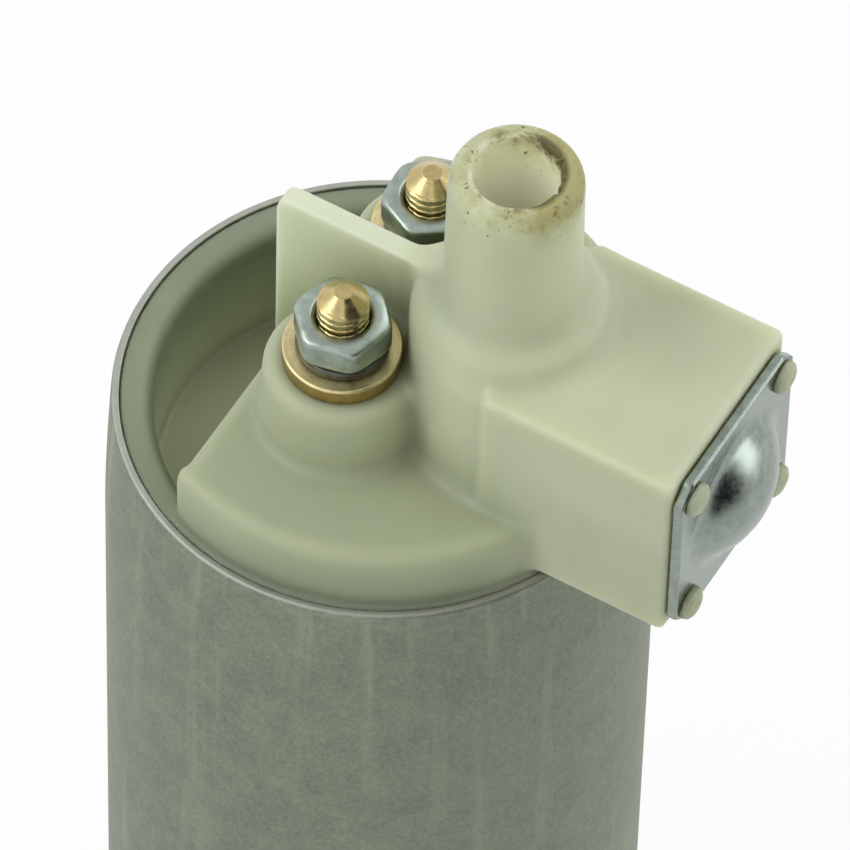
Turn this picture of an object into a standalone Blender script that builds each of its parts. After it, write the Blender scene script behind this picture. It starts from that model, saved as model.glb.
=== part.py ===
"""In-tank fuel pump: an aluminium can that holds an electric motor and an internal-gear pump, closed by a
moulded cap with two terminals, an outlet nozzle and a relief valve.

Metres, +Z up along the can. The origin is the centre of the can's base, and +X points from the can's axis
to the relief valve.
"""
import math

import bmesh
import bpy
from mathutils import Matrix, Vector

MM = 0.001

# Clearances
SEAT_GAP = 0.1 * MM        # between pieces that rest on each other
FIT_GAP = 0.15 * MM        # radial, between round pieces that locate each other
PRESS_GAP = 0.06 * MM      # radial, where one piece is pressed on or into another
STACK_GAP = 0.05 * MM      # between the washers and nut of a terminal
RUN_GAP = 0.08 * MM        # radial, between a turning piece and what guides it
EDGE_GAP = 0.3 * MM        # round pieces that pass through an opening
OVERCUT = 1 * MM           # how far a cutter runs past what it cuts

# Facets round a full turn
FINE_FACETS = 40
MEDIUM_FACETS = 28
SMALL_FACETS = 16
TINY_FACETS = 8
COIL_POINTS = 9            # along one turn of a spring
TOOTH_FACETS = 16          # along one tooth of the inner rotor
TOOTH_STEPS = 240          # along one tooth while its form is worked out

# Can
CAN_RADIUS = 21.5 * MM
CAN_WALL = 0.9 * MM
CAN_HEIGHT = 80 * MM
SWAGE_DEPTH = 0.5 * MM     # how far the can's mouth is drawn in
SWAGE_LENGTH = 13 * MM
SWAGE_POWER = 1.5
LIP_ROUND = 0.3 * MM
ROLL_RADIUS = 2.2 * MM     # of the rolled edge at the base
ROLL_REACH = 0.9 * MM      # flat of the rolled edge, inwards of its bend

# Inlet cover
COVER_HEIGHT = 9 * MM
FOOT_GAP = 0.4 * MM        # between the rolled edge and the cover's foot ring
FOOT_WIDTH = 2.4 * MM
COVER_RECESS = 2.2 * MM    # depth of the underside between foot ring and boss
COVER_BOSS_RADIUS = 5 * MM
COVER_RIB_COUNT = 6
COVER_RIB_WIDTH = 1.2 * MM
INLET_RADIUS = 3.4 * MM
INLET_SPIGOT_WALL = 1.2 * MM
KIDNEY_DEPTH = 2 * MM
SHAFT_TIP_DEPTH = 3 * MM   # of the blind hole that the shaft's end turns in

# Internal gear pump
ROTOR_LENGTH = 7 * MM
LOBE_COUNT = 7             # round lobes of the outer rotor; the inner rotor has one tooth fewer
LOBE_RATIO = 0.302         # lobes' radius to the radius of the circle that their centres lie on
OFFSET_RATIO = 0.1132      # offset of the rotors' axes to that same radius
TOOTH_GAP = 0.15 * MM
ROTOR_RIM = 3.4 * MM       # wall of the outer rotor behind its roots
RING_WALL = 5.82 * MM      # of the pump ring, where it is thinnest
KIDNEY_SPAN = 125          # degrees that each port reaches round the shaft
KIDNEY_WIDTH = 3.2 * MM

# Port plate and bearings
PORT_PLATE_HEIGHT = 5 * MM
BEARING_RADIUS = 4 * MM
BEARING_LENGTH = 4.5 * MM
BEARING_FLOOR = 0.6 * MM
THRUST_WASHER_HEIGHT = 0.5 * MM

# Motor
SHAFT_RADIUS = 2 * MM
SHAFT_CHAMFER = 0.4 * MM
FLUX_WALL = 2.6 * MM
MAGNET_INSET = 2.5 * MM    # from each end of the flux ring
MAGNET_THICKNESS = 4.2 * MM
MAGNET_SPAN = 140          # degrees
CLIP_THICKNESS = 0.6 * MM
CLIP_INSET = 2.5 * MM      # from each end of the magnets
CORE_GAP = 0.8 * MM        # air gap between magnets and core
SLOT_COUNT = 8
SLOT_MOUTH = 1.6 * MM
SLOT_FLOOR = 5.2 * MM      # radius of the slots' floors
SLOT_LIP = 1.1 * MM        # thickness of the tooth tips at a slot's mouth
TOOTH_WIDTH = 2.6 * MM
WIRE_GAP = 0.2 * MM
END_TURN_HEIGHT = 3.2 * MM
END_TURN_INNER = 3 * MM
END_TURN_ROUND = 1 * MM
COMMUTATOR_RADIUS = 5.5 * MM
COMMUTATOR_LENGTH = 8 * MM
COMMUTATOR_NECK = 3.7 * MM  # from the winding to the commutator
RISER_RADIUS = 6.8 * MM
RISER_HEIGHT = 1.2 * MM
COMMUTATOR_SLOT = 0.5 * MM
COMMUTATOR_SLOT_DEPTH = 0.8 * MM
ROTOR_END_GAP = 0.6 * MM   # axial, between neighbours on the shaft

# Brush gear
HOLDER_FLANGE_HEIGHT = 2.4 * MM
HOLDER_FLANGE_WIDTH = 3 * MM
BRUSH_WIDTH = 4 * MM
BRUSH_HEIGHT = 5 * MM
BRUSH_ROUND = 0.25 * MM
BRUSH_GAP = 0.15 * MM
BRUSH_SPRING_LENGTH = 3.6 * MM
BRUSH_SPRING_TURNS = 3.5
BRUSH_SPRING_RADIUS = 1.5 * MM
BRUSH_SPRING_WIRE = 0.35 * MM
GUIDE_WALL = 1.2 * MM
HUB_RADIUS = 5.2 * MM      # of the holder's bearing hub
STRIP_WIDTH = 3 * MM
STRIP_INSET = 2.4 * MM     # from the chamber's wall
STRIP_THICKNESS = 0.6 * MM
STRIP_EYE_MARGIN = 0.5 * MM  # round the head of the stud's rivet

# Cap
CAP_LIP_GAP = 0.4 * MM     # between the cap and the can's mouth
CAP_DEPTH = 20.1 * MM      # from the can's lip to the base of the cap's skirt
CAP_WALL = 3.1 * MM        # of its skirt, inside the can
CAP_NECK = 3 * MM          # depth below the lip at which the cap widens to the can's bore
CAP_NECK_LENGTH = 1 * MM
PLATFORM_HEIGHT = 5.7 * MM
PLATFORM_ROUND = 1 * MM
PLATFORM_WALL = 2.5 * MM   # its roof and the wall behind the chord
CHORD_X = -8.07 * MM       # the flat behind the platform
CHORD_ROUND = 0.7 * MM
COLLAR_DROP = 0.3 * MM     # collar's top below the can's lip
COLLAR_WIDTH = 2 * MM
POCKET_DEPTH = 11 * MM
POCKET_FLOOR = 2.5 * MM
POCKET_FLARE = 0.5 * MM
SEAL_RADIUS = 0.9 * MM     # section of the O-ring
SEAL_DROP = 5.5 * MM       # from the pocket's floor to the seal's centre

# Terminals
TERMINAL_Y = 6.6 * MM
BOSS_RADIUS = 6.2 * MM
BOSS_TOP_RADIUS = 5.6 * MM
BOSS_HEIGHT = 12.5 * MM    # above the lip, like the other heights on the cap
BOSS_ROUND = 0.9 * MM
BOSS_FILLET = 0.6 * MM
WASHER_RADIUS = 4.6 * MM
WASHER_HEIGHT = 1.5 * MM
WASHER_CHAMFER = 0.3 * MM
LOCK_WASHER_RADIUS = 3.6 * MM
LOCK_WASHER_HEIGHT = 0.5 * MM
LOCK_WASHER_SLIT = 0.7 * MM
NUT_FLATS = 7 * MM
NUT_HEIGHT = 3.2 * MM
NUT_CHAMFER_ANGLE = 43     # degrees
NUT_FACE_MARGIN = 0.1 * MM  # from the flats to the round of the chamfer
NUT_SINK = 0.35 * MM       # countersink of the nut's thread
NUT_TURN_NEAR = 12.4       # degrees, where a corner of each nut stopped
NUT_TURN_FAR = 34.1
STUD_RADIUS = 2 * MM
STUD_HEIGHT = 20.3 * MM
STUD_TIP_RADIUS = 0.85 * MM
STUD_TIP_DROP = 0.5 * MM   # from the flat tip to the thread
STUD_FLANGE_RADIUS = 3.4 * MM
STUD_FLANGE_HEIGHT = 1.2 * MM
RIVET_RADIUS = 1.5 * MM
RIVET_HEAD_RADIUS = 2.2 * MM
RIVET_HEAD_HEIGHT = 0.7 * MM

# Rib between the terminals
RIB_X = -9.2 * MM
RIB_THICKNESS = 1.8 * MM
RIB_HEIGHT = 19.7 * MM
RIB_ROUND = 1.6 * MM

# Hub and nozzle
NOZZLE_X = 10.8 * MM
NOZZLE_HEIGHT = 35.3 * MM
NOZZLE_RADIUS = 5.3 * MM
NOZZLE_TIP_RADIUS = 5.1 * MM
NOZZLE_CHAMFER = 0.9 * MM
NOZZLE_BORE = 3.3 * MM
NOZZLE_BORE_CHAMFER = 0.3 * MM
NOZZLE_FILLET = 1.1 * MM
CAP_HUB_RADIUS = 7.6 * MM
CAP_HUB_HEIGHT = 20.3 * MM
CAP_HUB_ROUND = 1.5 * MM

# Check valve in the outlet
VALVE_BORE = 4.1 * MM
VALVE_BORE_TOP = 25 * MM
VALVE_SEAT_BASE = 12.5 * MM
VALVE_SEAT_HEIGHT = 2.5 * MM
VALVE_SEAT_HOLE = 1.8 * MM
VALVE_SEAT_CONE = 1 * MM
BALL_RADIUS = 3 * MM
CHECK_WIRE = 0.5 * MM
CHECK_SPRING_TURNS = 3.5
CHECK_SPRING_FOOT = 2.2 * MM

# Relief valve block
BLOCK_START = 13.4 * MM
BLOCK_END = 29.5 * MM
BLOCK_HALF_WIDTH = 8.8 * MM
BLOCK_BOTTOM = 0.5 * MM
BLOCK_TOP = 18.6 * MM
BLOCK_ROUND = 0.6 * MM
RELIEF_Z = 9.4 * MM        # height of the relief valve's axis
RELIEF_BORE = 5 * MM
RELIEF_BORE_START = 17 * MM
RELIEF_PORT = 2 * MM
RETURN_PORT = 1.6 * MM
RETURN_PORT_X = 24.5 * MM
PLATE_SIZE = 17 * MM
PLATE_THICKNESS = 0.9 * MM
PLATE_CORNER = 1.5 * MM
DOME_RADIUS = 6 * MM
DOME_HEIGHT = 2.7 * MM
POST_Y = 6.65 * MM
POST_Z = 6.6 * MM
POST_RADIUS = 0.9 * MM
POST_HEAD_RADIUS = 1.35 * MM
POST_HEAD_HEIGHT = 0.5 * MM
POST_HEAD_FLAT = 0.9 * MM  # radius of the head's flat top
POST_HEAD_DROP = 0.25 * MM  # from the flat top to the head's full radius
POPPET_LENGTH = 4.2 * MM
POPPET_FLANGE = 1.4 * MM
POPPET_STEM = 2.1 * MM
FLUTE_COUNT = 3            # passages past the poppet's flange
FLUTE_RADIUS = 1.3 * MM
FLUTE_RISE = 0.2 * MM      # of a flute's centre above the flange's edge
RELIEF_WIRE = 0.7 * MM
RELIEF_SPRING_RADIUS = 3.3 * MM
RELIEF_SPRING_TURNS = 4.5

# Places worked out from the sizes above
LIP = CAN_HEIGHT
TWO_PI = 2 * math.pi
WELD_DISTANCE = 0.002 * MM


def can_outer(z):
    """Outer radius of the can at height z, with its mouth drawn in."""
    rise = max(0.0, (z - (CAN_HEIGHT - SWAGE_LENGTH)) / SWAGE_LENGTH)
    return CAN_RADIUS - SWAGE_DEPTH * rise ** SWAGE_POWER


def can_bore(z):
    """Radius of what just fits inside the can at height z."""
    return can_outer(z) - CAN_WALL - FIT_GAP


BORE_RADIUS = CAN_RADIUS - CAN_WALL - FIT_GAP
CAP_RADIUS = can_outer(CAN_HEIGHT) - CAN_WALL - CAP_LIP_GAP
ROTOR_ROOM = BORE_RADIUS - RING_WALL - RUN_GAP - ROTOR_RIM - TOOTH_GAP
LOBE_CIRCLE = ROTOR_ROOM / (1 + 3 * OFFSET_RATIO - LOBE_RATIO)  # radius on which the lobes' centres lie
LOBE_RADIUS = LOBE_RATIO * LOBE_CIRCLE
ECCENTRICITY = OFFSET_RATIO * LOBE_CIRCLE
COVER_TOP = COVER_HEIGHT
ROTOR_BASE = COVER_TOP + SEAT_GAP
ROTOR_TOP = ROTOR_BASE + ROTOR_LENGTH
PORT_BASE = ROTOR_TOP + SEAT_GAP
PORT_TOP = PORT_BASE + PORT_PLATE_HEIGHT
THRUST_BASE = PORT_TOP + SEAT_GAP
FLUX_BASE = PORT_TOP + SEAT_GAP
SKIRT_BASE = LIP - CAP_DEPTH
HOLDER_TOP = SKIRT_BASE - SEAT_GAP
HOLDER_BASE = HOLDER_TOP - HOLDER_FLANGE_HEIGHT
FLUX_TOP = HOLDER_BASE - SEAT_GAP
FLUX_BORE = BORE_RADIUS - FLUX_WALL
MAGNET_OUTER = FLUX_BORE - FIT_GAP
MAGNET_INNER = MAGNET_OUTER - MAGNET_THICKNESS
MAGNET_BASE = FLUX_BASE + MAGNET_INSET
MAGNET_TOP = FLUX_TOP - MAGNET_INSET
CORE_RADIUS = MAGNET_INNER - CORE_GAP
WINDING_BASE = THRUST_BASE + THRUST_WASHER_HEIGHT + ROTOR_END_GAP
CORE_BASE = WINDING_BASE + END_TURN_HEIGHT
GUIDE_BASE = HOLDER_BASE
BRUSH_BASE = GUIDE_BASE + GUIDE_WALL + BRUSH_GAP
BRUSH_MIDDLE = BRUSH_BASE + BRUSH_HEIGHT / 2
GUIDE_TOP = BRUSH_BASE + BRUSH_HEIGHT + BRUSH_GAP + GUIDE_WALL
COMMUTATOR_TOP = GUIDE_TOP - ROTOR_END_GAP
COMMUTATOR_BASE = COMMUTATOR_TOP - COMMUTATOR_LENGTH
WINDING_TOP = COMMUTATOR_BASE - COMMUTATOR_NECK
CORE_TOP = WINDING_TOP - END_TURN_HEIGHT
BEARING_BASE = GUIDE_TOP + BEARING_FLOOR + SEAT_GAP
HUB_TOP = BEARING_BASE + BEARING_LENGTH + SEAT_GAP
SHAFT_TOP = HUB_TOP
CHAMBER_RADIUS = BORE_RADIUS - CAP_WALL
STRIP_Y = CHAMBER_RADIUS - STRIP_INSET
BRUSH_INNER = COMMUTATOR_RADIUS + BRUSH_GAP
BRUSH_OUTER = STRIP_Y - BRUSH_SPRING_LENGTH - 2 * SEAT_GAP
POCKET_BASE = LIP - POCKET_DEPTH
CHAMBER_STEP = POCKET_BASE - POCKET_FLOOR
PLATFORM_TOP = LIP + PLATFORM_HEIGHT
ROOF = PLATFORM_TOP - PLATFORM_WALL
COLLAR_TOP = LIP - COLLAR_DROP
POCKET_RADIUS = CAP_RADIUS - COLLAR_WIDTH
SEAL_Z = POCKET_BASE - SEAL_DROP
STUD_HOLE = STUD_RADIUS + PRESS_GAP
RELIEF_AXIS_Z = LIP + RELIEF_Z
PLATE_INNER = BLOCK_END + SEAT_GAP
PLATE_OUTER = PLATE_INNER + PLATE_THICKNESS
SPHERE_RADIUS = (DOME_RADIUS ** 2 + DOME_HEIGHT ** 2) / (2 * DOME_HEIGHT)
SPHERE_X = PLATE_OUTER + DOME_HEIGHT - SPHERE_RADIUS
OUTER_ROTOR_ROOT = LOBE_CIRCLE + 2 * ECCENTRICITY - LOBE_RADIUS + TOOTH_GAP
OUTER_ROTOR_RADIUS = OUTER_ROTOR_ROOT + ROTOR_RIM
KIDNEY_OUTER = OUTER_ROTOR_ROOT - ECCENTRICITY
KIDNEY_MIDDLE = KIDNEY_OUTER - KIDNEY_WIDTH / 2

# Colours, as linear red, green and blue
ALUMINIUM = (0.27, 0.28, 0.26)
MOULDING = (0.52, 0.55, 0.36)
ZINC = (0.5, 0.55, 0.54)
BRASS = (0.48, 0.32, 0.11)
STEEL = (0.42, 0.42, 0.43)
SPRING_STEEL = (0.5, 0.5, 0.5)
SINTERED = (0.3, 0.24, 0.16)
FERRITE = (0.05, 0.05, 0.055)
COPPER = (0.5, 0.2, 0.1)
CARBON = (0.03, 0.03, 0.03)
DARK_PLASTIC = (0.04, 0.045, 0.05)
RUBBER = (0.015, 0.015, 0.015)


def new_collection(name):
    collection = bpy.data.collections.new(name)
    bpy.context.scene.collection.children.link(collection)
    return collection


def material(name, colour, metallic, roughness):
    """A Principled material, made once for each name."""
    found = bpy.data.materials.get(name)
    if found:
        return found
    made = bpy.data.materials.new(name)
    made.use_nodes = True
    shader = made.node_tree.nodes["Principled BSDF"]
    shader.inputs["Base Color"].default_value = (*colour, 1)
    shader.inputs["Metallic"].default_value = metallic
    shader.inputs["Roughness"].default_value = roughness
    made.diffuse_color = (*colour, 1)
    return made


def remove_startup_objects():
    for thing in list(bpy.data.objects):
        bpy.data.objects.remove(thing, do_unlink=True)


remove_startup_objects()
PARTS = new_collection("in_tank_fuel_pump")
CUTTERS = new_collection("cutters")
AXES = new_collection("joint_axes")


def place(name, mesh, location=(0, 0, 0), rotation=(0, 0, 0)):
    """A finished piece in the part's collection."""
    piece = bpy.data.objects.new(name, mesh)
    piece.location = location
    piece.rotation_euler = rotation
    PARTS.objects.link(piece)
    return piece


def weld(piece):
    """Merges the points that cuts and joins left double."""
    if any(modifier.type == "BOOLEAN" for modifier in piece.modifiers):
        modifier = piece.modifiers.new("weld", "WELD")
        modifier.merge_threshold = WELD_DISTANCE


def as_tool(piece):
    """Turns a piece into one that only cuts or joins, and isn't part of the pump."""
    PARTS.objects.unlink(piece)
    CUTTERS.objects.link(piece)
    piece.hide_render = True
    piece.display_type = "WIRE"
    weld(piece)
    return piece


def combine(piece, tool, operation):
    """Cuts a tool out of a piece, or joins it to the piece."""
    modifier = piece.modifiers.new(operation.lower(), "BOOLEAN")
    modifier.operation = operation
    modifier.solver = "EXACT"
    modifier.object = as_tool(tool) if tool.name not in CUTTERS.objects else tool


def cut(piece, *tools):
    for tool in tools:
        combine(piece, tool, "DIFFERENCE")


def join(piece, *tools):
    for tool in tools:
        combine(piece, tool, "UNION")


def keep_common(piece, *tools):
    for tool in tools:
        combine(piece, tool, "INTERSECT")


def finish(piece, look, smooth_angle=35):
    """Welds what the cuts left double, and gives a piece its material and smooth round faces."""
    weld(piece)
    piece.data.materials.clear()
    piece.data.materials.append(look)
    piece.data.shade_smooth()
    piece.data.set_sharp_from_angle(angle=math.radians(smooth_angle))
    return piece


def turned(name, profile, facets, location=(0, 0, 0), rotation=(0, 0, 0), ring=False):
    """Turns a profile of (radius, height) points, which runs down its outer side from the top.

    A solid's profile starts and ends on the axis; a ring's closes on itself.
    """
    mesh = bpy.data.meshes.new(name)
    shape = bmesh.new()
    points = [shape.verts.new((radius, 0, height)) for radius, height in profile]
    for first, second in zip(points, points[1:]):
        shape.edges.new((first, second))
    if ring:
        shape.edges.new((points[-1], points[0]))
    shape.to_mesh(mesh)
    shape.free()
    piece = place(name, mesh, location, rotation)
    screw = piece.modifiers.new("turn", "SCREW")
    screw.axis = "Z"
    screw.angle = TWO_PI
    screw.steps = facets
    screw.render_steps = facets
    screw.use_merge_vertices = True
    screw.merge_threshold = WELD_DISTANCE
    screw.use_smooth_shade = True
    return piece


def cylinder(name, radius, low, high, facets, location=(0, 0, 0), rotation=(0, 0, 0)):
    profile = [(0, high), (radius, high), (radius, low), (0, low)]
    return turned(name, profile, facets, location, rotation)


def tube(name, outer, inner, low, high, facets, location=(0, 0, 0), rotation=(0, 0, 0)):
    profile = [(inner, high), (outer, high), (outer, low), (inner, low)]
    return turned(name, profile, facets, location, rotation, ring=True)


def box(name, low, high, rounding=0.0, facets=2):
    """A box between two corners, with its edges rounded."""
    mesh = bpy.data.meshes.new(name)
    shape = bmesh.new()
    bmesh.ops.create_cube(shape, size=1)
    size = [b - a for a, b in zip(low, high)]
    middle = [(a + b) / 2 for a, b in zip(low, high)]
    bmesh.ops.scale(shape, vec=size, verts=shape.verts)
    shape.to_mesh(mesh)
    shape.free()
    piece = place(name, mesh, middle)
    if rounding:
        bevel = piece.modifiers.new("rounding", "BEVEL")
        bevel.width = rounding
        bevel.segments = facets
        bevel.limit_method = "ANGLE"
    return piece


def mesh_from_curve(name, curve, lift=0.0):
    """Turns a curve into one closed mesh, moved up by lift, and removes the curve."""
    source = bpy.data.objects.new(name + "_curve", curve)
    PARTS.objects.link(source)
    bpy.context.view_layer.update()
    evaluated = source.evaluated_get(bpy.context.evaluated_depsgraph_get())
    mesh = bpy.data.meshes.new_from_object(evaluated)
    mesh.name = name
    bpy.data.objects.remove(source, do_unlink=True)
    bpy.data.curves.remove(curve)
    shape = bmesh.new()
    shape.from_mesh(mesh)
    bmesh.ops.remove_doubles(shape, verts=shape.verts, dist=WELD_DISTANCE)
    bmesh.ops.translate(shape, vec=(0, 0, lift), verts=shape.verts)
    bmesh.ops.recalc_face_normals(shape, faces=shape.faces)
    shape.to_mesh(mesh)
    shape.free()
    return mesh


def extruded(name, outlines, low, high, rotation=(0, 0, 0), location=(0, 0, 0)):
    """Extrudes flat outlines, the second and later ones being holes, from low to high."""
    curve = bpy.data.curves.new(name, "CURVE")
    curve.dimensions = "2D"
    curve.fill_mode = "BOTH"
    curve.extrude = (high - low) / 2
    for outline in outlines:
        spline = curve.splines.new("POLY")
        spline.points.add(len(outline) - 1)
        for point, (x, y) in zip(spline.points, outline):
            point.co = (x, y, 0, 1)
        spline.use_cyclic_u = True
    mesh = mesh_from_curve(name, curve, (low + high) / 2)
    return place(name, mesh, location, rotation)


def coil(name, start, end, turns, wire, location, rotation=(0, 0, 0)):
    """A compression spring whose turns run from (radius, height) start to end, both at the wire's centre."""
    count = int(turns * COIL_POINTS) + 1
    curve = bpy.data.curves.new(name, "CURVE")
    curve.dimensions = "3D"
    curve.bevel_depth = wire / 2
    curve.bevel_resolution = 1
    curve.use_fill_caps = True
    spline = curve.splines.new("POLY")
    spline.points.add(count - 1)
    for number, point in enumerate(spline.points):
        along = number / (count - 1)
        angle = TWO_PI * turns * along
        radius = start[0] + (end[0] - start[0]) * along
        height = start[1] + (end[1] - start[1]) * along
        point.co = (radius * math.cos(angle), radius * math.sin(angle), height, 1)
    return place(name, mesh_from_curve(name, curve), location, rotation)


def arc(centre, radius, start, end, steps):
    """Points on an arc, with angles in degrees."""
    points = []
    for step in range(steps + 1):
        angle = math.radians(start + (end - start) * step / steps)
        points.append((centre[0] + radius * math.cos(angle), centre[1] + radius * math.sin(angle)))
    return points


def evenly_spaced(outline, count):
    """The points of a closed outline that lie nearest to equal steps along it."""
    walked = [0.0]
    for first, second in zip(outline, outline[1:] + outline[:1]):
        walked.append(walked[-1] + math.dist(first, second))
    picked = []
    place_in_list = 0
    for number in range(count):
        target = walked[-1] * number / count
        while walked[place_in_list] < target:
            place_in_list += 1
        picked.append(outline[place_in_list % len(outline)])
    return picked


def circle(radius, facets, centre=(0, 0)):
    return arc(centre, radius, 0, 360 - 360 / facets, facets - 1)


def sector(inner, outer, middle, span, steps):
    """Outline of a part of a ring, with angles in degrees."""
    low = middle - span / 2
    high = middle + span / 2
    return arc((0, 0), outer, low, high, steps) + arc((0, 0), inner, high, low, steps)


def kidney(middle):
    """Outline of a port: a part of a ring with round ends."""
    half = KIDNEY_WIDTH / 2
    low = math.radians(middle - KIDNEY_SPAN / 2)
    high = math.radians(middle + KIDNEY_SPAN / 2)
    first = (KIDNEY_MIDDLE * math.cos(low), KIDNEY_MIDDLE * math.sin(low))
    last = (KIDNEY_MIDDLE * math.cos(high), KIDNEY_MIDDLE * math.sin(high))
    low_end = math.degrees(low)
    high_end = math.degrees(high)
    outline = arc((0, 0), KIDNEY_MIDDLE + half, low_end, high_end, 12)
    outline += arc(last, half, high_end, high_end + 180, 4)[1:-1]
    outline += arc((0, 0), KIDNEY_MIDDLE - half, high_end, low_end, 12)
    outline += arc(first, half, low_end + 180, low_end + 360, 4)[1:-1]
    return outline


def along_x(z, x=0.0):
    """Location and rotation of a turned piece whose axis points along +X."""
    return {"location": (x, 0, z), "rotation": (0, math.pi / 2, 0)}


def along_y(side):
    """Rotation that turns +Z to +Y, or to -Y."""
    return (-side * math.pi / 2, 0, 0)


def joint_axis(name, location):
    """An empty on a joint's axis, which carries the pieces that move with it."""
    axis = bpy.data.objects.new(name, None)
    axis.location = location
    axis.empty_display_size = SHAFT_RADIUS
    AXES.objects.link(axis)
    return axis


def carry(axis, *pieces):
    for piece in pieces:
        piece.parent = axis
        piece.matrix_parent_inverse = Matrix.Translation(-Vector(axis.location))


ALUMINIUM_CAN = material("drawn_aluminium", ALUMINIUM, 1.0, 0.5)
ALUMINIUM_CAST = material("cast_aluminium", ALUMINIUM, 1.0, 0.6)
ACETAL = material("moulded_acetal", MOULDING, 0.0, 0.4)
ZINC_PLATE = material("zinc_plated_steel", ZINC, 1.0, 0.3)
TURNED_BRASS = material("turned_brass", BRASS, 1.0, 0.3)
BARE_STEEL = material("steel", STEEL, 1.0, 0.35)
WIRE_STEEL = material("spring_wire", SPRING_STEEL, 1.0, 0.3)
SINTERED_BRONZE = material("sintered_bronze", SINTERED, 1.0, 0.6)
SINTERED_STEEL = material("sintered_steel", STEEL, 1.0, 0.55)
MAGNET_FERRITE = material("ferrite", FERRITE, 0.0, 0.7)
WINDING_COPPER = material("enamelled_copper", COPPER, 1.0, 0.35)
BRUSH_CARBON = material("carbon", CARBON, 0.0, 0.7)
HOLDER_PLASTIC = material("dark_plastic", DARK_PLASTIC, 0.0, 0.5)
SEAL_RUBBER = material("seal_rubber", RUBBER, 0.0, 0.7)


def make_casing():
    """The drawn can: its mouth is drawn in over the cap and its base is rolled under the inlet cover."""
    bend = CAN_RADIUS - ROLL_RADIUS
    heights = [CAN_HEIGHT - SWAGE_LENGTH * step / 3 for step in range(4)]
    outer = [(can_outer(z), z) for z in heights[1:]]
    inner = [(can_outer(z) - CAN_WALL, z) for z in reversed(heights[1:])]
    top = can_outer(CAN_HEIGHT)
    lip = arc((top - CAN_WALL + LIP_ROUND, CAN_HEIGHT - LIP_ROUND), LIP_ROUND, 180, 90, 1)
    lip += arc((top - LIP_ROUND, CAN_HEIGHT - LIP_ROUND), LIP_ROUND, 90, 0, 2)
    roll = arc((bend, ROLL_RADIUS), ROLL_RADIUS, 0, -90, 3)
    roll_inside = arc((bend, ROLL_RADIUS), ROLL_RADIUS - CAN_WALL, -90, 0, 2)
    reach = [(bend - ROLL_REACH, 0), (bend - ROLL_REACH, CAN_WALL)]
    profile = lip + outer + roll + reach + roll_inside + inner
    return finish(turned("casing", profile, FINE_FACETS, ring=True), ALUMINIUM_CAN)


def make_inlet_cover():
    """The cast cover at the base, with the suction port, its kidney and the shaft's blind hole."""
    opening = CAN_RADIUS - ROLL_RADIUS - ROLL_REACH
    foot = opening - FOOT_GAP
    shoulder = CAN_WALL + SEAT_GAP
    bevel_end = CAN_RADIUS - ROLL_RADIUS
    profile = [
        (0, COVER_TOP), (BORE_RADIUS, COVER_TOP),
        (BORE_RADIUS, ROLL_RADIUS + SEAT_GAP), (bevel_end, shoulder), (foot, shoulder), (foot, 0), (0, 0),
    ]
    cover = turned("inlet_cover", profile, FINE_FACETS)
    recess = tube("cover_recess", foot - FOOT_WIDTH, COVER_BOSS_RADIUS, -OVERCUT, COVER_RECESS, MEDIUM_FACETS)
    for number in range(COVER_RIB_COUNT):
        angle = TWO_PI * (number + 0.5) / COVER_RIB_COUNT
        rib = box(f"cover_rib_{number}", (COVER_BOSS_RADIUS - OVERCUT, -COVER_RIB_WIDTH / 2, -2 * OVERCUT),
                  (foot, COVER_RIB_WIDTH / 2, COVER_RECESS + OVERCUT))
        rib.rotation_euler = (0, 0, angle)
        rib.location = Matrix.Rotation(angle, 3, "Z") @ rib.location
        cut(recess, rib)
    spigot = INLET_RADIUS + INLET_SPIGOT_WALL
    port = (0, KIDNEY_MIDDLE + ECCENTRICITY, 0)
    cut(recess, cylinder("spigot_keep", spigot, -2 * OVERCUT, COVER_RECESS + OVERCUT, SMALL_FACETS, port))
    cut(cover, recess)
    cut(cover, extruded("suction_kidney", [kidney(90)], COVER_TOP - KIDNEY_DEPTH, COVER_TOP + OVERCUT))
    port_top = COVER_TOP - KIDNEY_DEPTH / 2
    cut(cover, cylinder("inlet_port", INLET_RADIUS, -OVERCUT, port_top, SMALL_FACETS, port))
    cut(cover, cylinder("shaft_hole", SHAFT_RADIUS + EDGE_GAP, COVER_TOP - SHAFT_TIP_DEPTH,
                        COVER_TOP + OVERCUT, SMALL_FACETS))
    return finish(cover, ALUMINIUM_CAST)


def inner_rotor_outline():
    """Tooth form of the inner rotor: the path that the outer rotor's lobes sweep, less their radius."""
    teeth = LOBE_COUNT - 1
    steps = TOOTH_STEPS * teeth
    inset = LOBE_RADIUS + TOOTH_GAP
    outline = []
    for step in range(steps):
        beta = TWO_PI * step / steps
        x = LOBE_CIRCLE * math.cos(beta) + ECCENTRICITY * math.cos(LOBE_COUNT * beta)
        y = LOBE_CIRCLE * math.sin(beta) + ECCENTRICITY * math.sin(LOBE_COUNT * beta)
        dx = -LOBE_CIRCLE * math.sin(beta) - LOBE_COUNT * ECCENTRICITY * math.sin(LOBE_COUNT * beta)
        dy = LOBE_CIRCLE * math.cos(beta) + LOBE_COUNT * ECCENTRICITY * math.cos(LOBE_COUNT * beta)
        length = math.hypot(dx, dy)
        outline.append((x - inset * dy / length, y + inset * dx / length))
    return evenly_spaced(outline, TOOTH_FACETS * teeth)


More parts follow.
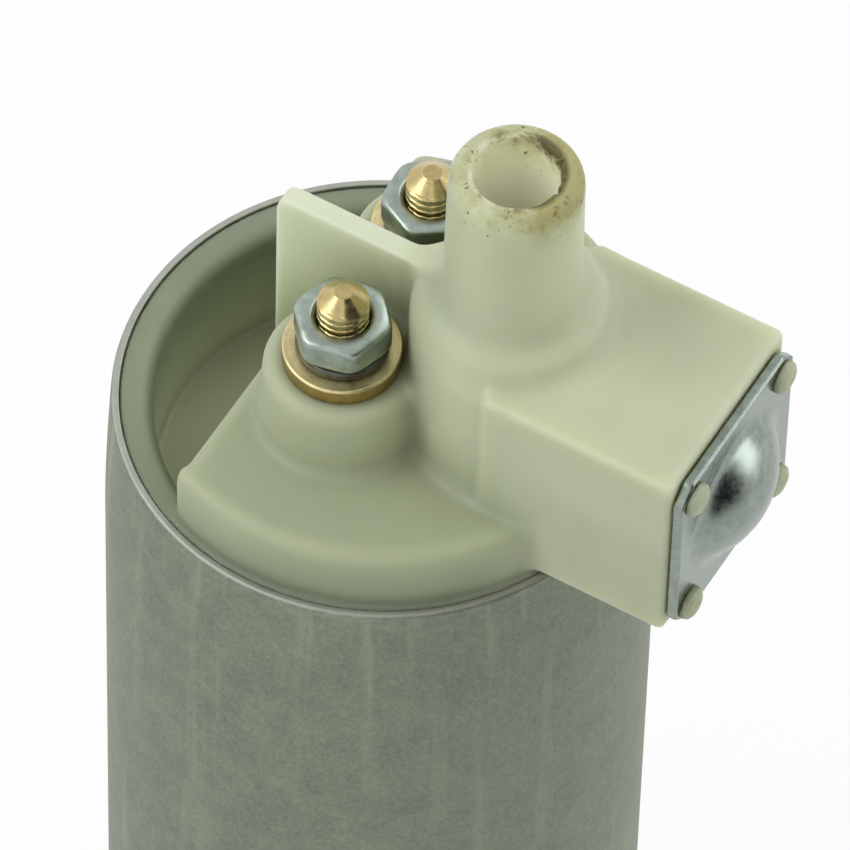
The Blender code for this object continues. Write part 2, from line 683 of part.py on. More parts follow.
def outer_rotor_outline():
    """Inside of the outer rotor: round lobes joined by arcs of the root circle, about its own axis."""
    root = OUTER_ROTOR_ROOT
    reach = (LOBE_CIRCLE ** 2 + root ** 2 - LOBE_RADIUS ** 2) / (2 * LOBE_CIRCLE * root)
    half = math.degrees(math.acos(reach))
    pitch = 360 / LOBE_COUNT
    outline = []
    for number in range(LOBE_COUNT):
        middle = number * pitch
        centre_angle = math.radians(middle)
        centre = (LOBE_CIRCLE * math.cos(centre_angle), LOBE_CIRCLE * math.sin(centre_angle))
        edge = math.radians(middle - half)
        start = math.degrees(math.atan2(root * math.sin(edge) - centre[1], root * math.cos(edge) - centre[0]))
        sweep = 2 * ((middle + 180 - start) % 360)
        if sweep > 360:
            sweep -= 720
        outline += arc(centre, LOBE_RADIUS, start, start + sweep, 12)
        outline += arc((0, 0), root, middle + half, middle + pitch - half, 3)[1:-1]
    return outline


def make_pump_set():
    """The internal gear pump: ring, outer rotor and inner rotor, between the cover and the port plate."""
    ring = cylinder("pump_ring", BORE_RADIUS, ROTOR_BASE, ROTOR_TOP, FINE_FACETS)
    room = OUTER_ROTOR_RADIUS + RUN_GAP
    cut(ring, cylinder("rotor_pocket", room, ROTOR_BASE - OVERCUT, ROTOR_TOP + OVERCUT, FINE_FACETS,
                       (ECCENTRICITY, 0, 0)))
    finish(ring, SINTERED_STEEL)

    outline = [circle(OUTER_ROTOR_RADIUS, FINE_FACETS), outer_rotor_outline()]
    outer = extruded("outer_rotor", outline, ROTOR_BASE, ROTOR_TOP, location=(ECCENTRICITY, 0, 0))
    finish(outer, SINTERED_STEEL)
    carry(joint_axis("outer_rotor_axis", (ECCENTRICITY, 0, ROTOR_BASE)), outer)

    bore = circle(SHAFT_RADIUS + PRESS_GAP, SMALL_FACETS)
    inner = extruded("inner_rotor", [inner_rotor_outline(), bore], ROTOR_BASE, ROTOR_TOP)
    return finish(inner, SINTERED_STEEL)


def make_port_plate():
    """The plate over the rotors, with the pressure port and the shaft's lower bearing."""
    plate = cylinder("port_plate", BORE_RADIUS, PORT_BASE, PORT_TOP, FINE_FACETS)
    cut(plate, extruded("pressure_kidney", [kidney(-90)], PORT_BASE - OVERCUT, PORT_TOP + OVERCUT))
    seat = PORT_TOP - BEARING_LENGTH - SEAT_GAP
    hole = SHAFT_RADIUS + EDGE_GAP
    cut(plate, cylinder("lower_bearing_seat", BEARING_RADIUS + PRESS_GAP, seat, PORT_TOP + OVERCUT,
                        SMALL_FACETS))
    cut(plate, cylinder("port_plate_hole", hole, PORT_BASE - OVERCUT, PORT_TOP, SMALL_FACETS))
    finish(plate, SINTERED_STEEL)
    base = PORT_TOP - BEARING_LENGTH
    bearing = tube("lower_bearing", BEARING_RADIUS, SHAFT_RADIUS + RUN_GAP, base, PORT_TOP, SMALL_FACETS)
    finish(bearing, SINTERED_BRONZE)


def make_magnets():
    """The steel ring that carries the field, its two magnets and the clips between them."""
    ring = tube("flux_ring", BORE_RADIUS, FLUX_BORE, FLUX_BASE, FLUX_TOP, FINE_FACETS)
    finish(ring, BARE_STEEL)
    for name, middle in (("magnet_north", 90), ("magnet_south", -90)):
        outline = sector(MAGNET_INNER, MAGNET_OUTER, middle, MAGNET_SPAN, 16)
        finish(extruded(name, [outline], MAGNET_BASE, MAGNET_TOP), MAGNET_FERRITE)

    # Each clip is a channel of strip steel whose legs lie against the ends of the magnets
    spread = 180 - MAGNET_SPAN
    for name, middle in (("magnet_clip_front", 0), ("magnet_clip_rear", 180)):
        half = spread / 2 - math.degrees(EDGE_GAP / MAGNET_INNER)
        thick = math.degrees(CLIP_THICKNESS / MAGNET_INNER)
        back = MAGNET_OUTER - CLIP_THICKNESS
        outline = arc((0, 0), MAGNET_OUTER, middle - half, middle + half, 6)
        outline += [arc((0, 0), MAGNET_INNER + CLIP_THICKNESS, middle + half, middle + half, 1)[0]]
        outline += [arc((0, 0), MAGNET_INNER + CLIP_THICKNESS, middle + half - thick, middle + half, 1)[0]]
        outline += arc((0, 0), back, middle + half - thick, middle - half + thick, 6)
        outline += [arc((0, 0), MAGNET_INNER + CLIP_THICKNESS, middle - half + thick, middle, 1)[0]]
        outline += [arc((0, 0), MAGNET_INNER + CLIP_THICKNESS, middle - half, middle, 1)[0]]
        finish(extruded(name, [outline], MAGNET_BASE + CLIP_INSET, MAGNET_TOP - CLIP_INSET), WIRE_STEEL)


def slot_outline(middle, inset):
    """Outline of one armature slot without its mouth, shrunk by inset."""
    floor = SLOT_FLOOR + inset
    top = CORE_RADIUS - SLOT_LIP - inset
    half = math.pi / SLOT_COUNT
    side = TOOTH_WIDTH / 2 + inset
    low_half = math.degrees(half - math.asin(side / floor))
    high_half = math.degrees(half - math.asin(side / top))
    outline = arc((0, 0), top, middle - high_half, middle + high_half, 4)
    return outline + arc((0, 0), floor, middle + low_half, middle - low_half, 1)


def make_armature():
    """Shaft, laminated core, winding, commutator and thrust washer, which turn together."""
    tip = COVER_TOP - SHAFT_TIP_DEPTH + 2 * EDGE_GAP
    end_radius = SHAFT_RADIUS - SHAFT_CHAMFER
    profile = [
        (0, SHAFT_TOP), (end_radius, SHAFT_TOP), (SHAFT_RADIUS, SHAFT_TOP - SHAFT_CHAMFER),
        (SHAFT_RADIUS, tip + SHAFT_CHAMFER), (end_radius, tip), (0, tip),
    ]
    shaft = finish(turned("armature_shaft", profile, SMALL_FACETS), BARE_STEEL)

    bore = SHAFT_RADIUS + PRESS_GAP
    core = tube("armature_core", CORE_RADIUS, bore, CORE_BASE, CORE_TOP, FINE_FACETS)
    low = CORE_BASE - OVERCUT
    high = CORE_TOP + OVERCUT
    for number in range(SLOT_COUNT):
        middle = 360 * (number + 0.5) / SLOT_COUNT
        cut(core, extruded(f"slot_{number}", [slot_outline(middle, 0)], low, high))
        mouth = box(f"slot_mouth_{number}", (CORE_RADIUS - 2 * SLOT_LIP, -SLOT_MOUTH / 2, low),
                    (CORE_RADIUS + OVERCUT, SLOT_MOUTH / 2, high))
        turn = Matrix.Rotation(math.radians(middle), 3, "Z")
        mouth.location = turn @ mouth.location
        mouth.rotation_euler = turn.to_euler()
        cut(core, mouth)
    finish(core, BARE_STEEL)

    top = CORE_RADIUS - SLOT_LIP - WIRE_GAP
    winding = None
    for name, low, high in (("winding", WINDING_BASE, CORE_BASE - SEAT_GAP),
                            ("end_turns", CORE_TOP + SEAT_GAP, WINDING_TOP)):
        middle = top - END_TURN_ROUND
        outer = arc((middle, high - END_TURN_ROUND), END_TURN_ROUND, 90, 0, 2)
        outer += arc((middle, low + END_TURN_ROUND), END_TURN_ROUND, 0, -90, 2)
        profile = [(END_TURN_INNER, high)] + outer + [(END_TURN_INNER, low)]
        ring = turned(f"armature_{name}", profile, SMALL_FACETS, ring=True)
        if winding:
            join(winding, ring)
        else:
            winding = ring
    for number in range(SLOT_COUNT):
        middle = 360 * (number + 0.5) / SLOT_COUNT
        join(winding, extruded(f"slot_wires_{number}", [slot_outline(middle, WIRE_GAP)],
                               CORE_BASE - 2 * SEAT_GAP, CORE_TOP + 2 * SEAT_GAP))
    finish(winding, WINDING_COPPER)

    profile = [
        (bore, COMMUTATOR_TOP), (COMMUTATOR_RADIUS, COMMUTATOR_TOP),
        (COMMUTATOR_RADIUS, COMMUTATOR_BASE + RISER_HEIGHT), (RISER_RADIUS, COMMUTATOR_BASE + RISER_HEIGHT),
        (RISER_RADIUS, COMMUTATOR_BASE), (bore, COMMUTATOR_BASE),
    ]
    commutator = turned("commutator", profile, MEDIUM_FACETS, ring=True)
    slit_floor = COMMUTATOR_RADIUS - COMMUTATOR_SLOT_DEPTH
    for number in range(SLOT_COUNT):
        slit = box(f"commutator_slit_{number}", (slit_floor, -COMMUTATOR_SLOT / 2, COMMUTATOR_BASE - OVERCUT),
                   (RISER_RADIUS + OVERCUT, COMMUTATOR_SLOT / 2, COMMUTATOR_TOP + OVERCUT))
        turn = Matrix.Rotation(TWO_PI * (number + 0.5) / SLOT_COUNT, 3, "Z")
        slit.location = turn @ slit.location
        slit.rotation_euler = turn.to_euler()
        cut(commutator, slit)
    finish(commutator, WINDING_COPPER)

    top = THRUST_BASE + THRUST_WASHER_HEIGHT
    washer = tube("thrust_washer", BEARING_RADIUS, bore, THRUST_BASE, top, SMALL_FACETS)
    finish(washer, HOLDER_PLASTIC)
    return [shaft, core, winding, commutator, washer]


def make_brush_gear():
    """The holder with its upper bearing, and the brushes, their springs and the strips that feed them."""
    opening = BORE_RADIUS - HOLDER_FLANGE_WIDTH
    holder = tube("brush_holder", BORE_RADIUS, opening, HOLDER_BASE, HOLDER_TOP, FINE_FACETS)
    half_guide = BRUSH_WIDTH / 2 + BRUSH_GAP + GUIDE_WALL
    guide_start = RISER_RADIUS + EDGE_GAP
    guide_end = math.sqrt((CHAMBER_RADIUS - EDGE_GAP) ** 2 - half_guide ** 2)
    hub = cylinder("bearing_hub", HUB_RADIUS, GUIDE_TOP - GUIDE_WALL, HUB_TOP, MEDIUM_FACETS)
    for side, mark in ((1, "left"), (-1, "right")):
        low_y, high_y = sorted((side * guide_start, side * guide_end))
        guide = box(f"guide_{mark}", (-half_guide, low_y, GUIDE_BASE), (half_guide, high_y, GUIDE_TOP))
        low_y, high_y = sorted((side * (guide_end - OVERCUT), side * (opening + OVERCUT)))
        foot = box(f"guide_foot_{mark}", (-half_guide, low_y, GUIDE_BASE), (half_guide, high_y, HOLDER_TOP))
        join(holder, guide, foot)
    bridge = box("bridge", (-half_guide, -guide_start - OVERCUT, GUIDE_TOP - GUIDE_WALL),
                 (half_guide, guide_start + OVERCUT, GUIDE_TOP + BEARING_FLOOR))
    join(holder, bridge, hub)
    channel_end = STRIP_Y + STRIP_THICKNESS + EDGE_GAP
    for side, mark in ((1, "left"), (-1, "right")):
        low_y, high_y = sorted((side * (guide_start - OVERCUT), side * channel_end))
        channel = box(f"channel_{mark}", (-BRUSH_WIDTH / 2 - BRUSH_GAP, low_y, BRUSH_BASE - BRUSH_GAP),
                      (BRUSH_WIDTH / 2 + BRUSH_GAP, high_y, BRUSH_BASE + BRUSH_HEIGHT + BRUSH_GAP))
        low_y, high_y = sorted((side * (STRIP_Y - EDGE_GAP), side * channel_end))
        slot = box(f"strip_slot_{mark}", (-STRIP_WIDTH / 2 - EDGE_GAP, low_y, BRUSH_BASE),
                   (STRIP_WIDTH / 2 + EDGE_GAP, high_y, GUIDE_TOP + OVERCUT))
        cut(holder, channel, slot)
    cut(holder, cylinder("commutator_room", COMMUTATOR_RADIUS + EDGE_GAP, GUIDE_BASE - OVERCUT,
                         GUIDE_TOP - EDGE_GAP, MEDIUM_FACETS))
    cut(holder, cylinder("upper_bearing_seat", BEARING_RADIUS + PRESS_GAP, BEARING_BASE - SEAT_GAP,
                         HUB_TOP + OVERCUT, SMALL_FACETS))
    cut(holder, cylinder("hub_hole", SHAFT_RADIUS + EDGE_GAP, GUIDE_TOP - 2 * OVERCUT, HUB_TOP, SMALL_FACETS))
    finish(holder, HOLDER_PLASTIC)

    bearing = tube("upper_bearing", BEARING_RADIUS, SHAFT_RADIUS + RUN_GAP, BEARING_BASE,
                   BEARING_BASE + BEARING_LENGTH, SMALL_FACETS)
    finish(bearing, SINTERED_BRONZE)

    inner_wire = BRUSH_OUTER + SEAT_GAP + BRUSH_SPRING_WIRE / 2
    outer_wire = STRIP_Y - SEAT_GAP - BRUSH_SPRING_WIRE / 2
    for side, mark in ((1, "positive"), (-1, "negative")):
        low_y, high_y = sorted((side * BRUSH_INNER, side * BRUSH_OUTER))
        brush = box(f"brush_{mark}", (-BRUSH_WIDTH / 2, low_y, BRUSH_BASE),
                    (BRUSH_WIDTH / 2, high_y, BRUSH_BASE + BRUSH_HEIGHT), BRUSH_ROUND, 1)
        finish(brush, BRUSH_CARBON)
        spring = coil(f"brush_spring_{mark}", (BRUSH_SPRING_RADIUS, inner_wire),
                      (BRUSH_SPRING_RADIUS, outer_wire), BRUSH_SPRING_TURNS, BRUSH_SPRING_WIRE,
                      (0, 0, BRUSH_MIDDLE), along_y(side))
        finish(spring, WIRE_STEEL)
        make_contact_strip(mark, side)


def make_contact_strip(mark, side):
    """A bent brass strip from below the stud to the outer end of the brush's guide."""
    top = ROOF - SEAT_GAP - STUD_FLANGE_HEIGHT - SEAT_GAP
    low = BRUSH_BASE + EDGE_GAP
    start = TERMINAL_Y - RIVET_HEAD_RADIUS - STRIP_EYE_MARGIN
    outline = [(start, top), (STRIP_Y + STRIP_THICKNESS, top), (STRIP_Y + STRIP_THICKNESS, low),
               (STRIP_Y, low), (STRIP_Y, top - STRIP_THICKNESS), (start, top - STRIP_THICKNESS)]
    outline = [(side * y, z) for y, z in outline]
    strip = extruded(f"contact_strip_{mark}", [outline], -STRIP_WIDTH / 2, STRIP_WIDTH / 2,
                     rotation=(math.pi / 2, 0, math.pi / 2))
    below = top - STRIP_THICKNESS
    stud = (0, side * TERMINAL_Y, 0)
    eye = RIVET_HEAD_RADIUS + STRIP_EYE_MARGIN
    washer = cylinder(f"strip_eye_{mark}", eye, below, top, SMALL_FACETS, stud)
    hole = cylinder(f"strip_hole_{mark}", RIVET_RADIUS + PRESS_GAP, below - OVERCUT, top + OVERCUT,
                    SMALL_FACETS, stud)
    join(strip, washer)
    cut(strip, hole)
    finish(strip, TURNED_BRASS)


def make_terminal(mark, side, turn):
    """Stud, flat washer, lock washer and nut of one terminal."""
    middle = (0, side * TERMINAL_Y, 0)
    top = LIP + STUD_HEIGHT
    flange_top = ROOF - SEAT_GAP
    flange_base = flange_top - STUD_FLANGE_HEIGHT
    head_top = flange_base - 2 * SEAT_GAP - STRIP_THICKNESS
    profile = [
        (0, top), (STUD_TIP_RADIUS, top), (STUD_RADIUS, top - STUD_TIP_DROP), (STUD_RADIUS, flange_top),
        (STUD_FLANGE_RADIUS, flange_top), (STUD_FLANGE_RADIUS, flange_base), (RIVET_RADIUS, flange_base),
        (RIVET_RADIUS, head_top), (RIVET_HEAD_RADIUS, head_top), (RIVET_RADIUS, head_top - RIVET_HEAD_HEIGHT),
        (0, head_top - RIVET_HEAD_HEIGHT),
    ]
    finish(turned(f"terminal_stud_{mark}", profile, SMALL_FACETS, middle), TURNED_BRASS)

    hole = STUD_RADIUS + PRESS_GAP
    low = LIP + BOSS_HEIGHT + STACK_GAP
    high = low + WASHER_HEIGHT
    edge = WASHER_RADIUS - WASHER_CHAMFER
    profile = [(hole, high), (edge, high), (WASHER_RADIUS, high - WASHER_CHAMFER),
               (WASHER_RADIUS, low + WASHER_CHAMFER), (edge, low), (hole, low)]
    finish(turned(f"terminal_washer_{mark}", profile, SMALL_FACETS, middle, ring=True), TURNED_BRASS)

    low = high + STACK_GAP
    high = low + LOCK_WASHER_HEIGHT
    slit = math.degrees(LOCK_WASHER_SLIT / LOCK_WASHER_RADIUS)
    outline = sector(hole + STACK_GAP, LOCK_WASHER_RADIUS, 180 + slit / 2, 360 - slit, 16)
    washer = extruded(f"lock_washer_{mark}", [outline], low, high, location=middle,
                      rotation=(0, 0, math.radians(turn)))
    finish(washer, ZINC_PLATE)

    low = high + STACK_GAP
    high = low + NUT_HEIGHT
    corner = NUT_FLATS / math.sqrt(3)
    nut = cylinder(f"terminal_nut_{mark}", corner, low, high, 6, middle, (0, 0, math.radians(turn)))
    face = NUT_FLATS / 2 - NUT_FACE_MARGIN
    beyond = corner + NUT_FACE_MARGIN
    drop = (beyond - face) * math.tan(math.radians(90 - NUT_CHAMFER_ANGLE)) / 2
    chamfer = [(0, high), (face, high), (beyond, high - drop), (beyond, low + drop), (face, low), (0, low)]
    keep_common(nut, turned(f"nut_chamfer_{mark}", chamfer, SMALL_FACETS, middle))
    thread = [(0, high + NUT_SINK), (hole + 2 * NUT_SINK, high + NUT_SINK), (hole, high - NUT_SINK),
              (hole, low - OVERCUT), (0, low - OVERCUT)]
    cut(nut, turned(f"nut_thread_{mark}", thread, SMALL_FACETS, middle))
    finish(nut, ZINC_PLATE, 20)


def cap_body():
    """Skirt, collar and platform of the cap, before the chord and the pocket are cut."""
    top = PLATFORM_TOP
    heights = [LIP - CAP_NECK - CAP_NECK_LENGTH, LIP - (CAP_NECK + SWAGE_LENGTH) / 2, LIP - SWAGE_LENGTH]
    groove = BORE_RADIUS + FIT_GAP - 2 * SEAL_RADIUS - SEAT_GAP
    half_groove = SEAL_RADIUS + SEAT_GAP
    profile = [(0, top)] + arc((CAP_RADIUS - PLATFORM_ROUND, top - PLATFORM_ROUND), PLATFORM_ROUND, 90, 0, 3)
    profile += [(CAP_RADIUS, LIP - CAP_NECK)]
    profile += [(can_bore(z), z) for z in heights]
    profile += [(BORE_RADIUS, SEAL_Z + half_groove), (groove, SEAL_Z + half_groove),
                (groove, SEAL_Z - half_groove), (BORE_RADIUS, SEAL_Z - half_groove),
                (BORE_RADIUS, SKIRT_BASE), (0, SKIRT_BASE)]
    return turned("end_cap", profile, FINE_FACETS)


def chord_cutter():
    """What is taken off behind the platform, with the top edge of the chord left round."""
    far = -2 * CAP_RADIUS
    high = PLATFORM_TOP + OVERCUT
    outline = [(far, COLLAR_TOP), (CHORD_X, COLLAR_TOP)]
    outline += arc((CHORD_X + CHORD_ROUND, PLATFORM_TOP - CHORD_ROUND), CHORD_ROUND, 180, 90, 4)
    outline += [(CHORD_X + CHORD_ROUND, high), (far, high)]
    return extruded("behind_chord", [outline], -2 * CAP_RADIUS, 2 * CAP_RADIUS, rotation=(math.pi / 2, 0, 0))


def pocket_cutter():
    """The pocket behind the chord: a part of a round bore with a flared mouth."""
    flare = POCKET_RADIUS + POCKET_FLARE
    profile = [(0, COLLAR_TOP + OVERCUT), (flare, COLLAR_TOP + OVERCUT)]
    profile += arc((flare, COLLAR_TOP - POCKET_FLARE), POCKET_FLARE, 90, 180, 2)
    profile += [(POCKET_RADIUS, POCKET_BASE), (0, POCKET_BASE)]
    pocket = turned("pocket", profile, FINE_FACETS)
    cut(pocket, box("pocket_stop", (CHORD_X, -2 * CAP_RADIUS, POCKET_BASE - OVERCUT),
                    (2 * CAP_RADIUS, 2 * CAP_RADIUS, COLLAR_TOP + 2 * OVERCUT)))
    return pocket


def chamber_cutter():
    """The chamber below the pocket's floor and the platform's roof."""
    chamber = cylinder("chamber", CHAMBER_RADIUS, SKIRT_BASE - OVERCUT, ROOF, FINE_FACETS)
    cut(chamber, box("pocket_keep", (-2 * CAP_RADIUS, -2 * CAP_RADIUS, CHAMBER_STEP),
                     (CHORD_X + PLATFORM_WALL, 2 * CAP_RADIUS, ROOF + OVERCUT)))
    return chamber


def terminal_boss(mark, side):
    base = PLATFORM_TOP - PLATFORM_WALL / 2
    top = LIP + BOSS_HEIGHT
    profile = [(0, top)] + arc((BOSS_TOP_RADIUS - BOSS_ROUND, top - BOSS_ROUND), BOSS_ROUND, 90, 10, 3)
    profile += arc((BOSS_RADIUS + BOSS_FILLET, PLATFORM_TOP + BOSS_FILLET), BOSS_FILLET, 180, 260, 2)
    profile += [(BOSS_RADIUS + BOSS_FILLET, base), (0, base)]
    return turned(f"terminal_boss_{mark}", profile, MEDIUM_FACETS, (0, side * TERMINAL_Y, 0))


def rib():
    """The wall that keeps the two terminals apart."""
    top = LIP + RIB_HEIGHT
    foot = POCKET_BASE - POCKET_FLOOR / 2
    inside = CHORD_X + PLATFORM_WALL / 2
    sunk = PLATFORM_TOP - PLATFORM_WALL / 2
    outline = [(RIB_X, foot)] + arc((RIB_X + RIB_ROUND, top - RIB_ROUND), RIB_ROUND, 180, 90, 5)
    outline += [(NOZZLE_X - CAP_HUB_RADIUS / 2, top), (NOZZLE_X - CAP_HUB_RADIUS / 2, sunk), (inside, sunk),
                (inside, foot)]
    return extruded("rib", [outline], -RIB_THICKNESS / 2, RIB_THICKNESS / 2, rotation=(math.pi / 2, 0, 0))


def hub_and_nozzle():
    top = LIP + NOZZLE_HEIGHT
    shoulder = LIP + CAP_HUB_HEIGHT
    base = PLATFORM_TOP - PLATFORM_WALL / 2
    tip = NOZZLE_TIP_RADIUS - NOZZLE_CHAMFER
    profile = [(0, top)] + arc((tip, top - NOZZLE_CHAMFER), NOZZLE_CHAMFER, 90, 0, 3)
    profile += arc((NOZZLE_RADIUS + NOZZLE_FILLET, shoulder + NOZZLE_FILLET), NOZZLE_FILLET, 180, 255, 3)
    edge = CAP_HUB_RADIUS - CAP_HUB_ROUND
    profile += arc((edge, shoulder - CAP_HUB_ROUND), CAP_HUB_ROUND, 75, 0, 3)
    profile += [(CAP_HUB_RADIUS, base), (0, base)]
    return turned("hub_and_nozzle", profile, MEDIUM_FACETS, (NOZZLE_X, 0, 0))


def relief_block():
    return box("relief_block", (BLOCK_START, -BLOCK_HALF_WIDTH, LIP + BLOCK_BOTTOM),
               (BLOCK_END, BLOCK_HALF_WIDTH, LIP + BLOCK_TOP), BLOCK_ROUND, 2)


def post(number, y, z):
    """A moulded post whose head is staked over the plate."""
    under = PLATE_OUTER + SEAT_GAP
    top = under + POST_HEAD_HEIGHT
    foot = BLOCK_END - POST_RADIUS
    profile = [(0, top), (POST_HEAD_FLAT, top), (POST_HEAD_RADIUS, top - POST_HEAD_DROP),
               (POST_HEAD_RADIUS, under), (POST_RADIUS, under), (POST_RADIUS, foot), (0, foot)]
    return turned(f"post_{number}", profile, TINY_FACETS, (0, y, z), (0, math.pi / 2, 0))


def post_places():
    return [(y, RELIEF_AXIS_Z + z) for y in (-POST_Y, POST_Y) for z in (-POST_Z, POST_Z)]


def make_end_cap():
    """The one-piece moulding that closes the can."""
    cap = cap_body()
    cut(cap, chord_cutter(), pocket_cutter())
    join(cap, terminal_boss("near", -1), terminal_boss("far", 1), rib(), hub_and_nozzle(), relief_block())
    for number, (y, z) in enumerate(post_places()):
        join(cap, post(number, y, z))
    cut(cap, chamber_cutter())
    for mark, side in (("near", -1), ("far", 1)):
        stud = (0, side * TERMINAL_Y, 0)
        boss_top = LIP + BOSS_HEIGHT + OVERCUT
        cut(cap, cylinder(f"stud_hole_{mark}", STUD_HOLE, ROOF - OVERCUT, boss_top, SMALL_FACETS, stud))
    top = LIP + NOZZLE_HEIGHT
    mouth = NOZZLE_BORE + NOZZLE_BORE_CHAMFER
    step = LIP + VALVE_BORE_TOP
    bore = [(0, top + OVERCUT), (mouth, top + OVERCUT), (mouth, top),
            (NOZZLE_BORE, top - NOZZLE_BORE_CHAMFER), (NOZZLE_BORE, step), (VALVE_BORE, step),
            (VALVE_BORE, ROOF - OVERCUT), (0, ROOF - OVERCUT)]
    cut(cap, turned("outlet_bore", bore, SMALL_FACETS, (NOZZLE_X, 0, 0)))
    cut(cap, cylinder("relief_bore", RELIEF_BORE, RELIEF_BORE_START, BLOCK_END + OVERCUT, SMALL_FACETS,
                      **along_x(RELIEF_AXIS_Z)))
    cut(cap, cylinder("relief_port", RELIEF_PORT, NOZZLE_X, RELIEF_BORE_START + OVERCUT, SMALL_FACETS,
                      **along_x(RELIEF_AXIS_Z)))
    cut(cap, cylinder("return_port", RETURN_PORT, LIP + BLOCK_BOTTOM - OVERCUT, RELIEF_AXIS_Z, TINY_FACETS,
                      (RETURN_PORT_X, 0, 0)))
    finish(cap, ACETAL)

    ring_radius = BORE_RADIUS + FIT_GAP - SEAL_RADIUS - SEAT_GAP
    profile = arc((ring_radius, SEAL_Z), SEAL_RADIUS - SEAT_GAP / 2, 90, -210, 5)
    finish(turned("cap_seal", profile, FINE_FACETS, ring=True), SEAL_RUBBER)


def make_check_valve():
    """The seat, ball and conical spring that hold pressure in the outlet."""
    base = LIP + VALVE_SEAT_BASE
    top = base + VALVE_SEAT_HEIGHT
    cone_base = top - VALVE_SEAT_CONE
    outer = VALVE_BORE - PRESS_GAP
    profile = [(VALVE_SEAT_HOLE + VALVE_SEAT_CONE, top), (outer, top), (outer, base), (VALVE_SEAT_HOLE, base),
               (VALVE_SEAT_HOLE, cone_base)]
    finish(turned("check_valve_seat", profile, SMALL_FACETS, (NOZZLE_X, 0, 0), ring=True), TURNED_BRASS)

    # The ball touches the 45 degree cone, less a small gap
    centre = cone_base - VALVE_SEAT_HOLE + (BALL_RADIUS + SEAT_GAP) * math.sqrt(2)
    mesh = bpy.data.meshes.new("check_valve_ball")
    shape = bmesh.new()
    bmesh.ops.create_uvsphere(shape, u_segments=SMALL_FACETS, v_segments=TINY_FACETS, radius=BALL_RADIUS)
    shape.to_mesh(mesh)
    shape.free()
    ball = finish(place("check_valve_ball", mesh, (NOZZLE_X, 0, centre)), BARE_STEEL)

    touch = BALL_RADIUS + CHECK_WIRE / 2 + SEAT_GAP
    low = centre + math.sqrt(touch ** 2 - CHECK_SPRING_FOOT ** 2)
    high = LIP + VALVE_BORE_TOP - SEAT_GAP - CHECK_WIRE / 2
    head = (VALVE_BORE + NOZZLE_BORE) / 2 - RUN_GAP
    spring = coil("check_valve_spring", (CHECK_SPRING_FOOT, low), (head, high), CHECK_SPRING_TURNS,
                  CHECK_WIRE, (NOZZLE_X, 0, 0))
    finish(spring, WIRE_STEEL)
    carry(joint_axis("check_valve_axis", (NOZZLE_X, 0, centre)), ball)


def dome_profile(steps):
    """Section of the plate's pressed dome as (radius, distance along X), outer skin then inner skin."""
    span = math.degrees(math.asin(DOME_RADIUS / SPHERE_RADIUS))
    outer = [(max(0.0, SPHERE_RADIUS * math.sin(a)), SPHERE_X + SPHERE_RADIUS * math.cos(a))
             for a in (math.radians(span * step / steps) for step in range(steps + 1))]
    thin = SPHERE_RADIUS - PLATE_THICKNESS
    room = math.degrees(math.acos((PLATE_INNER - SPHERE_X) / thin))
    inner = [(max(0.0, thin * math.sin(a)), SPHERE_X + thin * math.cos(a))
             for a in (math.radians(room * (steps - step) / steps) for step in range(steps + 1))]
    return outer, inner


def make_relief_valve():
    """The plate with its pressed dome, the poppet that closes the port and the spring between them."""
    half = PLATE_SIZE / 2
    corner = half - PLATE_CORNER
    outline = [(corner, half), (-corner, half), (-half, corner), (-half, -corner), (-corner, -half),
               (corner, -half), (half, -corner), (half, corner)]
    holes = [circle(POST_RADIUS + SEAT_GAP, TINY_FACETS, (z, y))
             for y in (-POST_Y, POST_Y) for z in (-POST_Z, POST_Z)]
    plate = extruded("relief_valve_plate", [outline] + holes, PLATE_INNER, PLATE_OUTER,
                     **along_x(RELIEF_AXIS_Z))
    outer, inner = dome_profile(4)
    flange = [(DOME_RADIUS, PLATE_INNER), (0, PLATE_INNER)]
    join(plate, turned("dome", outer + flange, MEDIUM_FACETS, **along_x(RELIEF_AXIS_Z)))
    sink = [(0, inner[-1][1])] + [(r, x) for r, x in reversed(inner)][1:]
    sink += [(inner[0][0], PLATE_INNER - OVERCUT), (0, PLATE_INNER - OVERCUT)]
    cut(plate, turned("dome_inside", sink, MEDIUM_FACETS, **along_x(RELIEF_AXIS_Z)))
    finish(plate, ZINC_PLATE)

    start = RELIEF_BORE_START + SEAT_GAP
    nose = RELIEF_PORT - FIT_GAP
    guide = RELIEF_BORE - FIT_GAP
    flange_end = start + POPPET_FLANGE
    profile = [(0, start + POPPET_LENGTH), (POPPET_STEM, start + POPPET_LENGTH), (POPPET_STEM, flange_end),
               (guide, flange_end), (guide, start), (nose, start), (0.5 * nose, start - nose / 2),
               (0, start - nose / 2)]
    poppet = turned("relief_valve_poppet", profile, SMALL_FACETS, **along_x(RELIEF_AXIS_Z))
    ring = guide + FLUTE_RISE
    for number in range(FLUTE_COUNT):
        angle = TWO_PI * number / FLUTE_COUNT
        centre = (0, ring * math.cos(angle), RELIEF_AXIS_Z + ring * math.sin(angle))
        cut(poppet, cylinder(f"flute_{number}", FLUTE_RADIUS, start - OVERCUT, flange_end + OVERCUT,
                             TINY_FACETS, centre, (0, math.pi / 2, 0)))
    finish(poppet, TURNED_BRASS)
    carry(joint_axis("relief_valve_axis", (start, 0, RELIEF_AXIS_Z)), poppet)

    wire = RELIEF_WIRE / 2
    reach = SPHERE_RADIUS - PLATE_THICKNESS - wire - SEAT_GAP
    far = SPHERE_X + math.sqrt(reach ** 2 - RELIEF_SPRING_RADIUS ** 2)
    near = flange_end + wire + SEAT_GAP
    spring = coil("relief_valve_spring", (RELIEF_SPRING_RADIUS, near), (RELIEF_SPRING_RADIUS, far),
                  RELIEF_SPRING_TURNS, RELIEF_WIRE, (0, 0, RELIEF_AXIS_Z), (0, math.pi / 2, 0))
    finish(spring, WIRE_STEEL)


